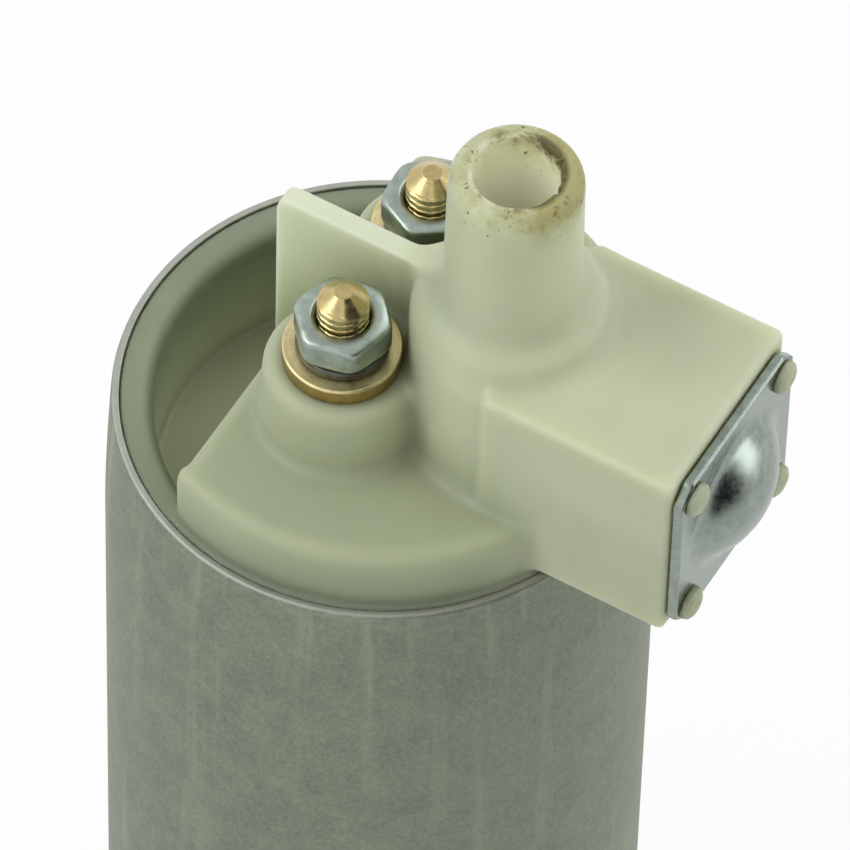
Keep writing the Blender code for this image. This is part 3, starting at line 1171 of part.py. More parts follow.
def main():
    make_casing()
    make_inlet_cover()
    inner_rotor = make_pump_set()
    make_port_plate()
    make_magnets()
    carry(joint_axis("armature_axis", (0, 0, PORT_TOP)), inner_rotor, *make_armature())
    make_brush_gear()
    make_end_cap()
    make_terminal("negative", -1, NUT_TURN_NEAR)
    make_terminal("positive", 1, NUT_TURN_FAR)
    make_check_valve()
    make_relief_valve()


main()
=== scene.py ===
import math

import bpy
import numpy as np
from mathutils import Matrix, Vector


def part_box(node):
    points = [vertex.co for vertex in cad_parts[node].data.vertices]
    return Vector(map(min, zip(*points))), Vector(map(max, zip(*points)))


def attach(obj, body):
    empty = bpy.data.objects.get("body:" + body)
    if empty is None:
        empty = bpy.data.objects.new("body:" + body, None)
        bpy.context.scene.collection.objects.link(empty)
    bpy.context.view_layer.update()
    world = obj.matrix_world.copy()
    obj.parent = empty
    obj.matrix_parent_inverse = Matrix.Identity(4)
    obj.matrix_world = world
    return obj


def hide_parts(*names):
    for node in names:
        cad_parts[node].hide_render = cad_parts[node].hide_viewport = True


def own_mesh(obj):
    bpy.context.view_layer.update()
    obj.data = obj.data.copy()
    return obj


bl_info = {
    "name": "In-tank fuel pump",
    "version": (1, 0, 0),
    "blender": (4, 5, 0),
    "location": "3D View > Sidebar > Fuel pump",
    "description": "Dresses the solids of an electric in-tank fuel pump with its fine shapes and finishes",
    "category": "Add Mesh",
}

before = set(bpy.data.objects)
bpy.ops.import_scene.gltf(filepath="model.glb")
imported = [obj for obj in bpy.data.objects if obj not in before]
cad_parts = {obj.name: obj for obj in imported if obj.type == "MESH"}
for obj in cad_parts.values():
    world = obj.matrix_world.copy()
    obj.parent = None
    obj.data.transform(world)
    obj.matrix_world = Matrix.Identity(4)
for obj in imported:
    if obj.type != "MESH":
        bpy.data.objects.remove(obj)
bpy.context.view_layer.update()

# Shapes are worked out in millimetres, in the frame of the solids, and made metres when a mesh is filled
MM = 0.001


def corners(name):
    """Lowest and highest corner of a solid, in millimetres."""
    low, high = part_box(name)
    return np.array(low) / MM, np.array(high) / MM


CAN_HIGH = corners("casing")[1]
CAP_LOW, CAP_HIGH = corners("end_cap")
COVER_HIGH = corners("inlet_cover")[1]
PLATE_LOW, PLATE_HIGH = corners("relief_valve_plate")
LOCK_LOW = corners("lock_washer_positive")[0]
WASHER_LOW, WASHER_HIGH = corners("terminal_washer_positive")
STUD_LOW, STUD_HIGH = corners("terminal_stud_positive")
LIP = CAN_HIGH[2]
RELIEF_Z = (PLATE_LOW[2] + PLATE_HIGH[2]) / 2
TERMINAL_Y = (STUD_LOW[1] + STUD_HIGH[1]) / 2

# Cap, with heights above the can's lip
COLLAR_RADIUS = 20.31
COLLAR_DROP = 0.15
COLLAR_ROUND = 0.15
SKIRT_RADIUS = 20.45
SKIRT_DEPTH = 20.1
SKIRT_WALL = 3.1
# The skirt's outer radius follows the can's mouth
SKIRT_HEIGHTS = (-20.1, -13, -8, -4, -2, -1.1, -0.3)
SKIRT_RADII = (SKIRT_RADIUS, SKIRT_RADIUS, 20.36, 20.26, 20.17, 20.25, COLLAR_RADIUS)
PLATFORM = 5.7
PLATFORM_RADIUS = 19.8
PLATFORM_ROUND = 1.3
CHORD_X = -8.07
CHORD_ROUND = 1.0
POCKET_RADIUS = 17.7
POCKET_DEPTH = 11.0
POCKET_ROUND = 1.5
POCKET_WALL = 2.5
BOSS_TOP = 12.5
BOSS_FOOT_RADIUS = 6.25
BOSS_TOP_RADIUS = 6.0
BOSS_ROUND = 1.1
BOSS_FILLET = 1.0
RIB_X = -9.4
RIB_HALF = 0.9
RIB_TOP = 19.7
RIB_CORNER = 1.6
RIB_ROUND = 0.25
HUB_X = 10.8
HUB_RADIUS = 7.6
HUB_TOP = 20.3
HUB_ROUND = 1.6
HUB_FILLET = 1.2
FLANK_X = 12.6
FLANK_RADIUS = 8.45
FLANK_ROUND = 1.2
NOZZLE_TOP = 35.3
NOZZLE_FOOT_RADIUS = 5.3
NOZZLE_TIP_RADIUS = 5.1
NOZZLE_BORE = 3.3
NOZZLE_ROUND = 1.4
NOZZLE_FILLET = 2.2
RAGGED_DEPTH = 0.28
VALVE_BORE = 4.1
VALVE_BORE_TOP = 25.0
BLOCK_START = 13.4
BLOCK_END = 29.5
BLOCK_HALF = 8.8
BLOCK_BOTTOM = 0.5
BLOCK_TOP = 18.6
RELIEF_BORE = 5.0
RELIEF_BORE_START = 17.0
RELIEF_DUCT = 2.0
RETURN_X = 24.5
RETURN_BORE = 1.6
RETURN_TOP = 9.4
ROOF = 3.2
POST_Y = 6.65
POST_Z = 6.6
POST_RADIUS = 0.9
POST_PLACES = [(y, z) for z in (-POST_Z, POST_Z) for y in (-POST_Y, POST_Y)]
SEAL_Z = LIP - 16.5
SEAL_GROOVE_RADIUS = 18.8
SEAL_GROOVE_HALF = 1.0
# Half the section of a staked head, as radius and height with the round of each corner
HEAD_OUTLINE = ((0, 0.75, 0), (0.9, 0.72, 0.3), (1.3, 0.45, 0.2), (1.4, 0, 0.04), (0, 0, 0))

# Plate, nuts, washers and studs
DOME_RADIUS = 6.0
DOME_HEIGHT = 2.7
PLATE_WALL = 0.9
PLATE_CORNER = 1.5
NUT_FLATS = 7.0
NUT_CORNER_RADIUS = 3.88
NUT_FACE_RADIUS = 3.2
NUT_FACE_SLOPE = math.radians(27)
NUT_SINK_RADIUS = 2.4
NUT_CELL = 0.11
NUT_TURNS = {"negative": 12.4, "positive": 34.1}
LOCK_HEIGHT = 0.85
LOCK_RADII = (2.12, 3.6)
LOCK_SLIT = 0.12
WASHER_BORE = 2.06
STUD_RADIUS = 2.0
STUD_TIP_RADIUS = 0.75
STUD_TIP_DROP = 1.1
STUD_TIP_RISE = 0.3
THREAD_PITCH = 0.7
THREAD_DEPTH = 0.2
# The stud's flange under the cap's roof and its riveted foot, as radius and drop from the flange's top
STUD_FOOT = ((3.4, 0), (3.4, 1.2), (1.5, 1.2), (1.5, 2.0), (2.2, 2.0))

# Inlet cover, from the base up
COVER_CHAMFER_RADIUS = 19.3
COVER_BACK = 1.0
FOOT_RING_RADIUS = 18.0
FOOT_RING_TOP = 3.0
RECESS_RADII = (5.0, 15.6)
RECESS_TOP = 2.2
COVER_RIBS = 6
COVER_RIB_HALF = 0.6
INLET_Y = 8.35
INLET_BORE = 3.4
INLET_BOSS_RADIUS = 4.6
KIDNEY_RADIUS = 7.15
KIDNEY_HALF = 1.6
KIDNEY_REACH = 9.3
SHAFT_BORE = 2.3

# Springs: solid, joint, axis, turn that lays its coil along that axis, number of turns, radius of the wire,
# and travel
SPRINGS = (
    ("check_valve_spring", "check_valve_lift", 2, (0, 0, 0), 3.5, 0.25, 2.5),
    ("relief_valve_spring", "relief_valve_lift", 0, (0, math.pi / 2, 0), 4.5, 0.35, 3.0),
    ("brush_spring_positive", "brush_positive_slide", 1, (-math.pi / 2, 0, 0), 3.5, 0.175, 2.0),
    ("brush_spring_negative", "brush_negative_slide", 1, (math.pi / 2, 0, 0), 3.5, 0.175, 2.0),
)
BALL_END_RADIUS = 2.2

# Stage: the point the camera aims at, half the floor's width, and how far the floor is under the base
AIM = (3.67, -0.01, LIP - 1.32)
FLOOR_HALF = 3000
FLOOR_GAP = 0.2
# Black velvet: its angle round the can in degrees, its distance, half its width and its height
VELVET = (-22, 260, 170, 520)
# Grey sheet: half its width and its height above the floor
SHEET = (1100, 1050)
# Lamps: place and aim in metres, size in metres, and power in watts
LAMPS = {
    "key": ((-0.65, -0.48, 0.95), (0.0, 0.0, LIP * MM), (0.7, 0.7), 5.9),
    "fill": ((0.7, -0.7, 0.6), (0.0, 0.0, LIP * MM), (0.8, 0.8), 1.6),
    "back": ((0.25, 0.8, 0.8), (0.0, 0.0, LIP * MM), (0.6, 0.6), 3.0),
    "window": ((0.62, 0.36, 0.15), (0.03, 0, 0.09), (0.26, 0.4), 0.8),
}

# Linear colours: tints multiply what is under them
# Painted shade on the walls near the can and on the staked heads
PAINTED_SHADE_TINT = (0.36, 0.41, 0.37)
# Painted shade in the cap's corners
CORNER_SHADE_TINT = (0.5, 0.46, 0.28)
# Tarnish and a painted dark reflection on the flat washers' sides
RIM_TARNISH_AND_REFLECTION_TINT = (0.5, 0.42, 0.24)
# Painted light in the thin rib
RIB_PAINTED_GLOW = (0.68, 0.745, 0.56)
# Painted light in the nozzle's bore
BORE_PAINTED_LIGHT = (0.975, 0.998, 0.82)
# Wear and a painted highlight on the can's lip
WORN_LIP_AND_HIGHLIGHT = (0.52, 0.52, 0.49)
# Direction of the nozzle's worn side
WORN_SIDE = (0.875, 0.485, 0)

# The pieces inside: the finish's name, its light and dark colour, the size of its grain in millimetres, how
# metallic it is, the range of its roughness, the height of its bump in millimetres, and the pieces it is on
INNER_FINISHES = (
    # Sintered iron and bronze: matt, with the grain of the pressed powder
    ("sintered_iron", "8E8F90", "5D5E60", 0.5, 1.0, (0.45, 0.6), 0.03,
     ("pump_ring", "outer_rotor", "inner_rotor", "port_plate")),
    ("bearing_bronze", "A68A60", "6F5A3A", 0.4, 1.0, (0.45, 0.6), 0.03, ("lower_bearing", "upper_bearing")),
    # Glass-filled nylon: nearly black, with a dry sheen
    ("glass_filled_nylon", "33363A", "212326", 1.5, 0.0, (0.45, 0.6), 0.02,
     ("thrust_washer", "brush_holder")),
    # Sintered ferrite: dark grey and stony
    ("sintered_ferrite", "4B4C50", "35363A", 0.6, 0.0, (0.6, 0.75), 0.03, ("magnet_north", "magnet_south")),
    # Ground steel and spring strip: smooth and bright
    ("ground_steel", "B5B7BA", "8C8E92", 0.5, 1.0, (0.22, 0.38), 0.0,
     ("flux_ring", "armature_shaft", "check_valve_ball")),
    ("spring_strip", "B4B6B8", "8A8C8F", 0.8, 1.0, (0.25, 0.38), 0.0,
     ("magnet_clip_front", "magnet_clip_rear")),
    # Varnished laminations: brown-grey, with a resin sheen
    ("varnished_laminations", "6A6460", "4A4542", 0.35, 1.0, (0.4, 0.6), 0.03, ("armature_core",)),
    # Enamelled copper: amber red, its varnish rippled by the strands under it
    ("enamelled_copper", "B4663A", "7E3F22", 0.45, 1.0, (0.25, 0.4), 0.12, ("armature_winding",)),
    # Turned copper and plain brass: warm, worn smooth
    ("turned_copper", "C98A62", "99603F", 0.7, 1.0, (0.25, 0.45), 0.0, ("commutator",)),
    ("plain_brass", "CBAA6A", "9A7B42", 0.8, 1.0, (0.25, 0.4), 0.0,
     ("contact_strip_positive", "contact_strip_negative", "check_valve_seat", "relief_valve_poppet")),
    # Pressed carbon: black and dull
    ("pressed_carbon", "2A2A2B", "161617", 0.5, 0.0, (0.5, 0.7), 0.03,
     ("brush_positive", "brush_negative")),
    # Nitrile rubber: soft black
    ("nitrile_rubber", "1C1C1D", "101011", 1.0, 0.0, (0.55, 0.75), 0.02, ("cap_seal",)),
)


def linear(code):
    """Linear red, green and blue of an sRGB hex colour."""
    values = [int(code[start:start + 2], 16) / 255 for start in (0, 2, 4)]
    return tuple(v / 12.92 if v <= 0.04045 else ((v + 0.055) / 1.055) ** 2.4 for v in values)


def length_setting(name, description, size, **limits):
    """A setting for a length, with its default in millimetres."""
    return bpy.props.FloatProperty(name=name, description=description, default=size * MM, unit="LENGTH",
                                   **limits)


def angle_setting(name, description, degrees):
    """A setting for an angle, with its default in degrees."""
    return bpy.props.FloatProperty(name=name, description=description, default=math.radians(degrees),
                                   subtype="ANGLE")


def colour_setting(name, description, code):
    """A setting for a colour, with its default as an sRGB hex code."""
    return bpy.props.FloatVectorProperty(name=name, description=description, size=3, subtype="COLOR",
                                         default=linear(code), min=0, max=1)


class CanSettings(bpy.types.PropertyGroup):
    """The drawn can."""
    wall: length_setting("Wall", "Thickness of the can's wall", 0.9)
    lip_wall: length_setting("Lip wall", "Thickness of the wall at the lip", 0.62)
    mouth_inset: length_setting("Mouth inset", "How far the mouth is drawn in", 0.5)
    mouth_length: length_setting("Mouth length", "Height over which the mouth is drawn in", 13)
    roll_radius: length_setting("Roll radius", "Outer radius of the rolled edge at the base", 2.2)
    colour: colour_setting("Colour", "Colour of the drawn aluminium", "878F7E")


class CapSettings(bpy.types.PropertyGroup):
    """The moulded cap."""
    cell: length_setting("Cell", "Spacing of the grid that the surface is found on", 0.3, min=0.2 * MM)
    fillet: length_setting("Fillet", "Round between the block and the rest of the cap", 0.8)
    edge: length_setting("Edge", "Round on the cap's outer edges", 0.55)
    colour: colour_setting("Colour", "Colour of the moulded acetal", "CBD2B2")
    stain: colour_setting("Stain", "Colour of the fuel stains at the nozzle's tip", "978A40")


class TerminalSettings(bpy.types.PropertyGroup):
    """Studs, nuts and washers."""
    pitch: length_setting("Pitch", "Pitch of the studs' thread", THREAD_PITCH)
    zinc: colour_setting("Zinc", "Colour of the zinc plating", "ACB9AF")
    brass: colour_setting("Brass", "Colour of the turned brass", "CDBB84")
    tarnish: colour_setting("Tarnish", "Colour of the flat washers' tarnish", "E6D6A4")


class StageSettings(bpy.types.PropertyGroup):
    """Camera, lamps and floor."""
    azimuth: angle_setting("Azimuth", "Camera's angle round the can", 29)
    elevation: angle_setting("Elevation", "Camera's angle above the horizon", 53.562)
    roll: angle_setting("Roll", "Camera's turn about its own line of sight", 1.732)
    distance: length_setting("Distance", "From the camera to the point it aims at", 833.112)
    lens: bpy.props.FloatProperty(
        name="Lens", description="Focal length in millimetres", default=459.31)


def smooth_step(low, high, value):
    """0 below low, 1 above high, and a smooth rise between them."""
    share = np.clip((value - low) / (high - low), 0, 1)
    return share * share * (3 - 2 * share)


def union(first, second, fillet=0.0):
    """Distance to two shapes joined, with a concave fillet of about that radius where they meet."""
    if not fillet:
        return np.minimum(first, second)
    reach = 1.2 * fillet
    overlap = np.maximum(reach - np.abs(first - second), 0) / reach
    return np.minimum(first, second) - overlap * overlap * reach / 4


def common(first, second, edge=0.0):
    """Distance to what two shapes have in common, with its edge rounded to about that radius."""
    return -union(-first, -second, edge)


def without(first, second, edge=0.0):
    """Distance to the first shape with the second cut out of it."""
    return common(first, -second, edge)


def every(edge, *shapes):
    """Distance to what all the shapes have in common."""
    result = shapes[0]
    for shape in shapes[1:]:
        result = common(result, shape, edge)
    return result


def slab(value, low, high, edge=0.0):
    """Distance to the layer between two levels."""
    return common(low - value, value - high, edge)


def levels(*runs):
    """Grid levels from runs of (start, end, step), each run starting where the last one ended."""
    parts = [np.linspace(a, b, max(2, round((b - a) / step) + 1))[:-1] for a, b, step in runs]
    return np.concatenate(parts + [[runs[-1][1]]])


def surface(field, xs, ys, zs):
    """Points, faces and normals of the closed surface where field(x, y, z) is zero.

    Each grid cell that the surface crosses gets one point, and each crossed grid edge one face of four.
    The points are then moved onto the surface along the field's slope.
    """
    grid = (xs, ys, zs)
    value = np.asarray(field(xs[:, None, None], ys[None, :, None], zs[None, None, :]), np.float32)
    value = np.broadcast_to(value, (len(xs), len(ys), len(zs)))
    inside = value < 0
    filled = sum(inside[i:len(xs) - 1 + i, j:len(ys) - 1 + j, k:len(zs) - 1 + k].astype(np.int8)
                 for i in (0, 1) for j in (0, 1) for k in (0, 1))
    crossed = (filled > 0) & (filled < 8)
    cells = np.argwhere(crossed)
    number = np.full(crossed.shape, -1, np.int32)
    number[crossed] = np.arange(len(cells))

    total = np.zeros((len(cells), 3))
    hits = np.zeros(len(cells))
    for axis in range(3):
        for side in range(4):
            start = cells.copy()
            start[:, (axis + 1) % 3] += side & 1
            start[:, (axis + 2) % 3] += side >> 1
            end = start.copy()
            end[:, axis] += 1
            a, b = value[tuple(start.T)], value[tuple(end.T)]
            cut = (a < 0) != (b < 0)
            share = np.where(cut, a / np.where(cut, a - b, 1), 0)[:, None]
            low = np.stack([grid[n][start[:, n]] for n in range(3)], 1)
            high = np.stack([grid[n][end[:, n]] for n in range(3)], 1)
            total += cut[:, None] * (low + share * (high - low))
            hits += cut
    points = total / hits[:, None]

    faces = []
    for axis in range(3):
        second, third = (axis + 1) % 3, (axis + 2) % 3
        low = np.moveaxis(inside, (axis, second, third), (0, 1, 2))[:-1, 1:-1, 1:-1]
        high = np.moveaxis(inside, (axis, second, third), (0, 1, 2))[1:, 1:-1, 1:-1]
        edges = np.argwhere(low != high)
        turned_over = ~low[tuple(edges.T)]
        numbers = np.moveaxis(number, (axis, second, third), (0, 1, 2))
        i, j, k = edges.T
        quad = np.stack([numbers[i, j, k], numbers[i, j + 1, k], numbers[i, j + 1, k + 1],
                         numbers[i, j, k + 1]], 1)
        quad[turned_over] = quad[turned_over][:, ::-1]
        faces.append(quad)
    faces = np.concatenate(faces)

    for _ in range(3):
        distance, slope = field_slope(field, points)
        steep = np.maximum((slope ** 2).sum(1), 0.25)
        points -= (distance / steep)[:, None] * slope
    normals = field_slope(field, points)[1]
    normals /= np.maximum(np.linalg.norm(normals, axis=1), 1e-6)[:, None]
    return points, faces, normals


def field_slope(field, points, reach=0.02):
    """Value and gradient of a distance field at some points."""
    x, y, z = points.T
    slope = np.stack([field(x + reach, y, z) - field(x - reach, y, z),
                      field(x, y + reach, z) - field(x, y - reach, z),
                      field(x, y, z + reach) - field(x, y, z - reach)], 1) / (2 * reach)
    return field(x, y, z), slope


def new_piece(name, points, faces, normals=None):
    """A piece from points in millimetres, shaded smooth with the given normals."""
    mesh = bpy.data.meshes.new(name)
    mesh.from_pydata((np.asarray(points, float) * MM).tolist(), [], np.asarray(faces).tolist()
                     if isinstance(faces, np.ndarray) else faces)
    mesh.update()
    mesh.shade_smooth()
    if normals is not None:
        mesh.normals_split_custom_set_from_vertices(np.asarray(normals, float).tolist())
    piece = bpy.data.objects.new(name, mesh)
    bpy.context.scene.collection.objects.link(piece)
    return piece


def arc(centre, radius, start, end, steps):
    """Points on an arc, with angles in degrees."""
    angles = np.radians(np.linspace(start, end, steps + 1))
    return [(centre[0] + radius * math.cos(a), centre[1] + radius * math.sin(a)) for a in angles]


def rounded(corner_list, steps=5):
    """A closed outline of (across, up, radius) corners with each corner made an arc."""
    outline = []
    count = len(corner_list)
    for number, (x, y, radius) in enumerate(corner_list):
        here = Vector((x, y))
        before = (Vector(corner_list[number - 1][:2]) - here).normalized()
        after = (Vector(corner_list[(number + 1) % count][:2]) - here).normalized()
        if not radius:
            outline.append((x, y))
            continue
        half = before.angle(after) / 2
        first = here + before * radius / math.tan(half)
        last = here + after * radius / math.tan(half)
        centre = here + (before + after).normalized() * radius / math.sin(half)
        for step in range(steps + 1):
            point = first.lerp(last, step / steps) - centre
            outline.append(tuple(centre + point.normalized() * radius))
    return outline


def band_faces(rings, size, closed=False):
    """Faces between rings of points that follow each other, with the last joined to the first if closed."""
    faces = []
    for ring in range(rings if closed else rings - 1):
        after = (ring + 1) % rings
        for step in range(size):
            ahead = (step + 1) % size
            faces.append((ring * size + step, ring * size + ahead,
                          after * size + ahead, after * size + step))
    return faces


def turned(name, outline, facets, centre=(0.0, 0.0, 0.0), along=2):
    """Turns a closed outline of (radius, height), which runs down its outer side, about an axis."""
    outline = np.array(outline)
    ahead, behind = np.roll(outline, -1, 0), np.roll(outline, 1, 0)
    across = ahead - behind
    slope = np.stack([-across[:, 1], across[:, 0]], 1)
    slope /= np.maximum(np.linalg.norm(slope, axis=1), 1e-9)[:, None]
    angles = np.linspace(0, 2 * math.pi, facets, endpoint=False)
    ring = np.stack([np.cos(angles), np.sin(angles)], 1)
    rows = len(outline)
    points = np.zeros((facets, rows, 3))
    normals = np.zeros((facets, rows, 3))
    first, second = (along + 1) % 3, (along + 2) % 3
    for target, source in ((points, outline), (normals, slope)):
        target[:, :, first] = ring[:, :1] * source[None, :, 0]
        target[:, :, second] = ring[:, 1:] * source[None, :, 0]
        target[:, :, along] = source[None, :, 1]
    points += np.array(centre)
    return new_piece(name, points.reshape(-1, 3), band_faces(facets, rows, True), normals.reshape(-1, 3))


def fit(piece, look, body, slot, *nodes):
    """Gives a piece its finish and the body it rides on, and hides the solids that it stands for; slot is
    not used.
    """
    piece.data.materials.clear()
    piece.data.materials.append(look)
    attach(piece, body)
    if nodes:
        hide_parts(*nodes)
    return piece


def add(tree, kind, inputs=None, **settings):
    """Adds a node with its settings; inputs gives sockets a value, a node or one of a node's outputs."""
    made = tree.nodes.new(kind)
    for name, value in settings.items():
        setattr(made, name, value)
    for name, value in (inputs or {}).items():
        if isinstance(value, bpy.types.Node):
            value = next(socket for socket in value.outputs if socket.enabled)
        if isinstance(value, bpy.types.NodeSocket):
            tree.links.new(value, made.inputs[name])
        else:
            made.inputs[name].default_value = value
    return made


def new_material(name):
    """A material with an empty node tree."""
    made = bpy.data.materials.new(name)
    made.use_nodes = True
    made.node_tree.nodes.clear()
    return made, made.node_tree


def scale_for(size):
    """Noise scale whose blotches are about that many millimetres across, on coordinates in metres."""
    return 1 / (size * MM)


def shade(colour, level=1.0):
    """A colour for a node's socket, made lighter or darker."""
    return (*(channel * level for channel in colour), 1)


def off_axis(tree, place, x, y):
    """Place across from an upright axis at x and y in millimetres, and its distance from the axis."""
    across = add(tree, "ShaderNodeVectorMath", {0: place, 1: (x * MM, y * MM, 0)}, operation="SUBTRACT")
    across = add(tree, "ShaderNodeVectorMath", {0: across, 1: (1, 1, 0)}, operation="MULTIPLY")
    return across, add(tree, "ShaderNodeVectorMath", {0: across}, operation="LENGTH")


def drawn_aluminium(colour):
    """Deep-drawn aluminium, etched dull: mottled grey, pale streaks along the draw and a rubbed lip with a
    painted highlight.
    """
    made, tree = new_material("etched_drawn_aluminium")
    place = add(tree, "ShaderNodeTexCoord").outputs["Object"]
    height = add(tree, "ShaderNodeSeparateXYZ", {"Vector": place}).outputs["Z"]
    clouds = add(tree, "ShaderNodeTexNoise", {
        "Vector": place, "Scale": scale_for(3.2), "Detail": 7, "Roughness": 0.72})
    grain = add(tree, "ShaderNodeTexNoise", {
        "Vector": place, "Scale": scale_for(0.35), "Detail": 4, "Roughness": 0.75})
    both = add(tree, "ShaderNodeMath", {0: clouds, 1: grain}, operation="ADD")
    share = add(tree, "ShaderNodeMapRange", {"Value": both, "From Min": 0.74, "From Max": 1.28})
    body = add(tree, "ShaderNodeMix", {
        "Factor": share, "A": shade(colour, 0.72), "B": shade(colour, 1.24)}, data_type="RGBA")

    # Pale streaks run the way the metal was drawn, and are strongest near the lip
    along = add(tree, "ShaderNodeMapping", {"Vector": place, "Scale": (1, 1, 0.06)})
    streaks = add(tree, "ShaderNodeTexNoise", {
        "Vector": along, "Scale": scale_for(2.4), "Detail": 5, "Roughness": 0.6})
    near_lip = add(tree, "ShaderNodeMapRange", {
        "Value": height, "From Min": (LIP - 16) * MM, "From Max": (LIP - 3) * MM, "To Min": 0.35,
        "To Max": 0.75})
    share = add(tree, "ShaderNodeMapRange", {
        "Value": streaks, "From Min": 0.54, "From Max": 0.74, "To Max": near_lip})
    streaked = add(tree, "ShaderNodeMix", {
        "Factor": share, "A": body, "B": shade(colour, 1.5)}, data_type="RGBA")

    # Scuffs round the mouth, and a lip made paler: partly wear, partly a painted highlight along its
    # rounded edge
    around = add(tree, "ShaderNodeMapping", {"Vector": place, "Scale": (0.45, 0.45, 1)})
    scuffs = add(tree, "ShaderNodeTexNoise", {
        "Vector": around, "Scale": scale_for(0.7), "Detail": 4, "Roughness": 0.65})
    mouth = add(tree, "ShaderNodeMapRange", {
        "Value": height, "From Min": (LIP - 3.5) * MM, "From Max": (LIP - 0.2) * MM, "To Max": 0.7})
    share = add(tree, "ShaderNodeMapRange", {
        "Value": scuffs, "From Min": 0.48, "From Max": 0.7, "To Max": mouth})
    scuffed = add(tree, "ShaderNodeMix", {
        "Factor": share, "A": streaked, "B": shade(colour, 1.4)}, data_type="RGBA")
    lip = add(tree, "ShaderNodeMapRange", {
        "Value": height, "From Min": (LIP - 0.2) * MM, "From Max": (LIP - 0.04) * MM, "To Max": 0.55})
    worn = add(tree, "ShaderNodeMix", {"Factor": lip, "A": scuffed, "B": shade(WORN_LIP_AND_HIGHLIGHT)}, data_type="RGBA")
    roughness = add(tree, "ShaderNodeMapRange", {
        "Value": clouds, "From Min": 0.3, "From Max": 0.7, "To Min": 0.52, "To Max": 0.66})
    bump = add(tree, "ShaderNodeBump", {"Height": grain, "Strength": 0.4, "Distance": 0.03 * MM})
    shader = add(tree, "ShaderNodeBsdfPrincipled", {
        "Base Color": worn, "Roughness": roughness, "Metallic": 1.0, "Normal": bump})
    add(tree, "ShaderNodeOutputMaterial", {"Surface": shader})
    return made


def acetal_body(tree, place, parts, colour):
    """Colour of the moulding, with painted light and shade: paler where light would come through, painted
    darker and olive where it wouldn't and in corners.
    """
    clouds = add(tree, "ShaderNodeTexNoise", {"Vector": place, "Scale": scale_for(8), "Detail": 4})
    body = add(tree, "ShaderNodeMix", {
        "Factor": clouds, "A": shade(colour, 1.05), "B": shade(colour, 0.88)}, data_type="RGBA")

    # Painted shade: the low walls near the can and the staked heads on the plate are darkened, standing in
    # for less light coming through them
    high = add(tree, "ShaderNodeMapRange", {
        "Value": parts["Z"], "From Min": (LIP - 1) * MM, "From Max": (LIP + 13) * MM})
    high = add(tree, "ShaderNodeMath", {0: high, 1: 0.58}, operation="POWER")
    low = add(tree, "ShaderNodeMapRange", {
        "Value": parts["Z"], "From Min": (LIP - 1.2) * MM, "From Max": (LIP - 9) * MM})
    aside = add(tree, "ShaderNodeMapRange", {
        "Value": parts["X"], "From Min": 12 * MM, "From Max": 19 * MM, "To Max": 0.85})
    heads_lit_share = add(tree, "ShaderNodeMapRange", {
        "Value": parts["X"], "From Min": (BLOCK_END + 0.2) * MM, "From Max": (BLOCK_END + 0.5) * MM,
        "To Min": 1, "To Max": 0.5})
    clear = add(tree, "ShaderNodeMath", {0: high, 1: low}, operation="MAXIMUM")
    clear = add(tree, "ShaderNodeMath", {0: clear, 1: aside}, operation="MAXIMUM")
    clear = add(tree, "ShaderNodeMath", {0: clear, 1: heads_lit_share}, operation="MULTIPLY")
    # Painted shade share: 1 minus the lit share
    painted_shade = add(tree, "ShaderNodeMath", {0: 1.0, 1: clear}, operation="SUBTRACT")

    # Painted shade: the bosses' walls round the studs are darkened too, but not the rib between them
    mirrored = add(tree, "ShaderNodeVectorMath", {0: place}, operation="ABSOLUTE")
    away = off_axis(tree, mirrored, 0, TERMINAL_Y)[1]
    boss = add(tree, "ShaderNodeMapRange", {
        "Value": away, "From Min": 10 * MM, "From Max": 6.5 * MM, "To Max": 0.3})
    above = add(tree, "ShaderNodeMapRange", {
        "Value": parts["Z"], "From Min": (LIP + PLATFORM) * MM, "From Max": (LIP + PLATFORM + 2) * MM})
    beside = add(tree, "ShaderNodeSeparateXYZ", {"Vector": mirrored}).outputs["Y"]
    beside = add(tree, "ShaderNodeMapRange", {"Value": beside, "From Min": 1.1 * MM, "From Max": 2 * MM})
    boss = add(tree, "ShaderNodeMath", {0: boss, 1: above}, operation="MULTIPLY")
    boss = add(tree, "ShaderNodeMath", {0: boss, 1: beside}, operation="MULTIPLY")
    painted_shade = add(tree, "ShaderNodeMath", {0: painted_shade, 1: boss}, operation="MAXIMUM")

    # Painted light: the thin rib is made paler, standing in for light coming through it
    thin = add(tree, "ShaderNodeMapRange", {"Value": parts["X"], "From Min": 4 * MM, "From Max": 1 * MM})
    rib = add(tree, "ShaderNodeMath", {0: 1.0, 1: beside}, operation="SUBTRACT")
    rib = add(tree, "ShaderNodeMath", {0: rib, 1: thin}, operation="MULTIPLY")
    rib = add(tree, "ShaderNodeMath", {0: rib, 1: high}, operation="MULTIPLY")
    body = add(tree, "ShaderNodeMix", {"Factor": rib, "A": body, "B": shade(RIB_PAINTED_GLOW)}, data_type="RGBA")
    shaded = add(tree, "ShaderNodeMix", {
        "Factor": painted_shade, "A": body, "B": shade(PAINTED_SHADE_TINT)}, data_type="RGBA", blend_type="MULTIPLY")

    # Painted shade: corners are darkened and tinted olive from the ambient-occlusion node
    open_share = add(tree, "ShaderNodeAmbientOcclusion", {"Distance": 8 * MM}, samples=8).outputs["AO"]
    corner = add(tree, "ShaderNodeMapRange", {
        "Value": open_share, "From Min": 0.15, "From Max": 0.8, "To Min": 0.55, "To Max": 0})
    return add(tree, "ShaderNodeMix", {
        "Factor": corner, "A": shaded, "B": shade(CORNER_SHADE_TINT)}, data_type="RGBA", blend_type="MULTIPLY")


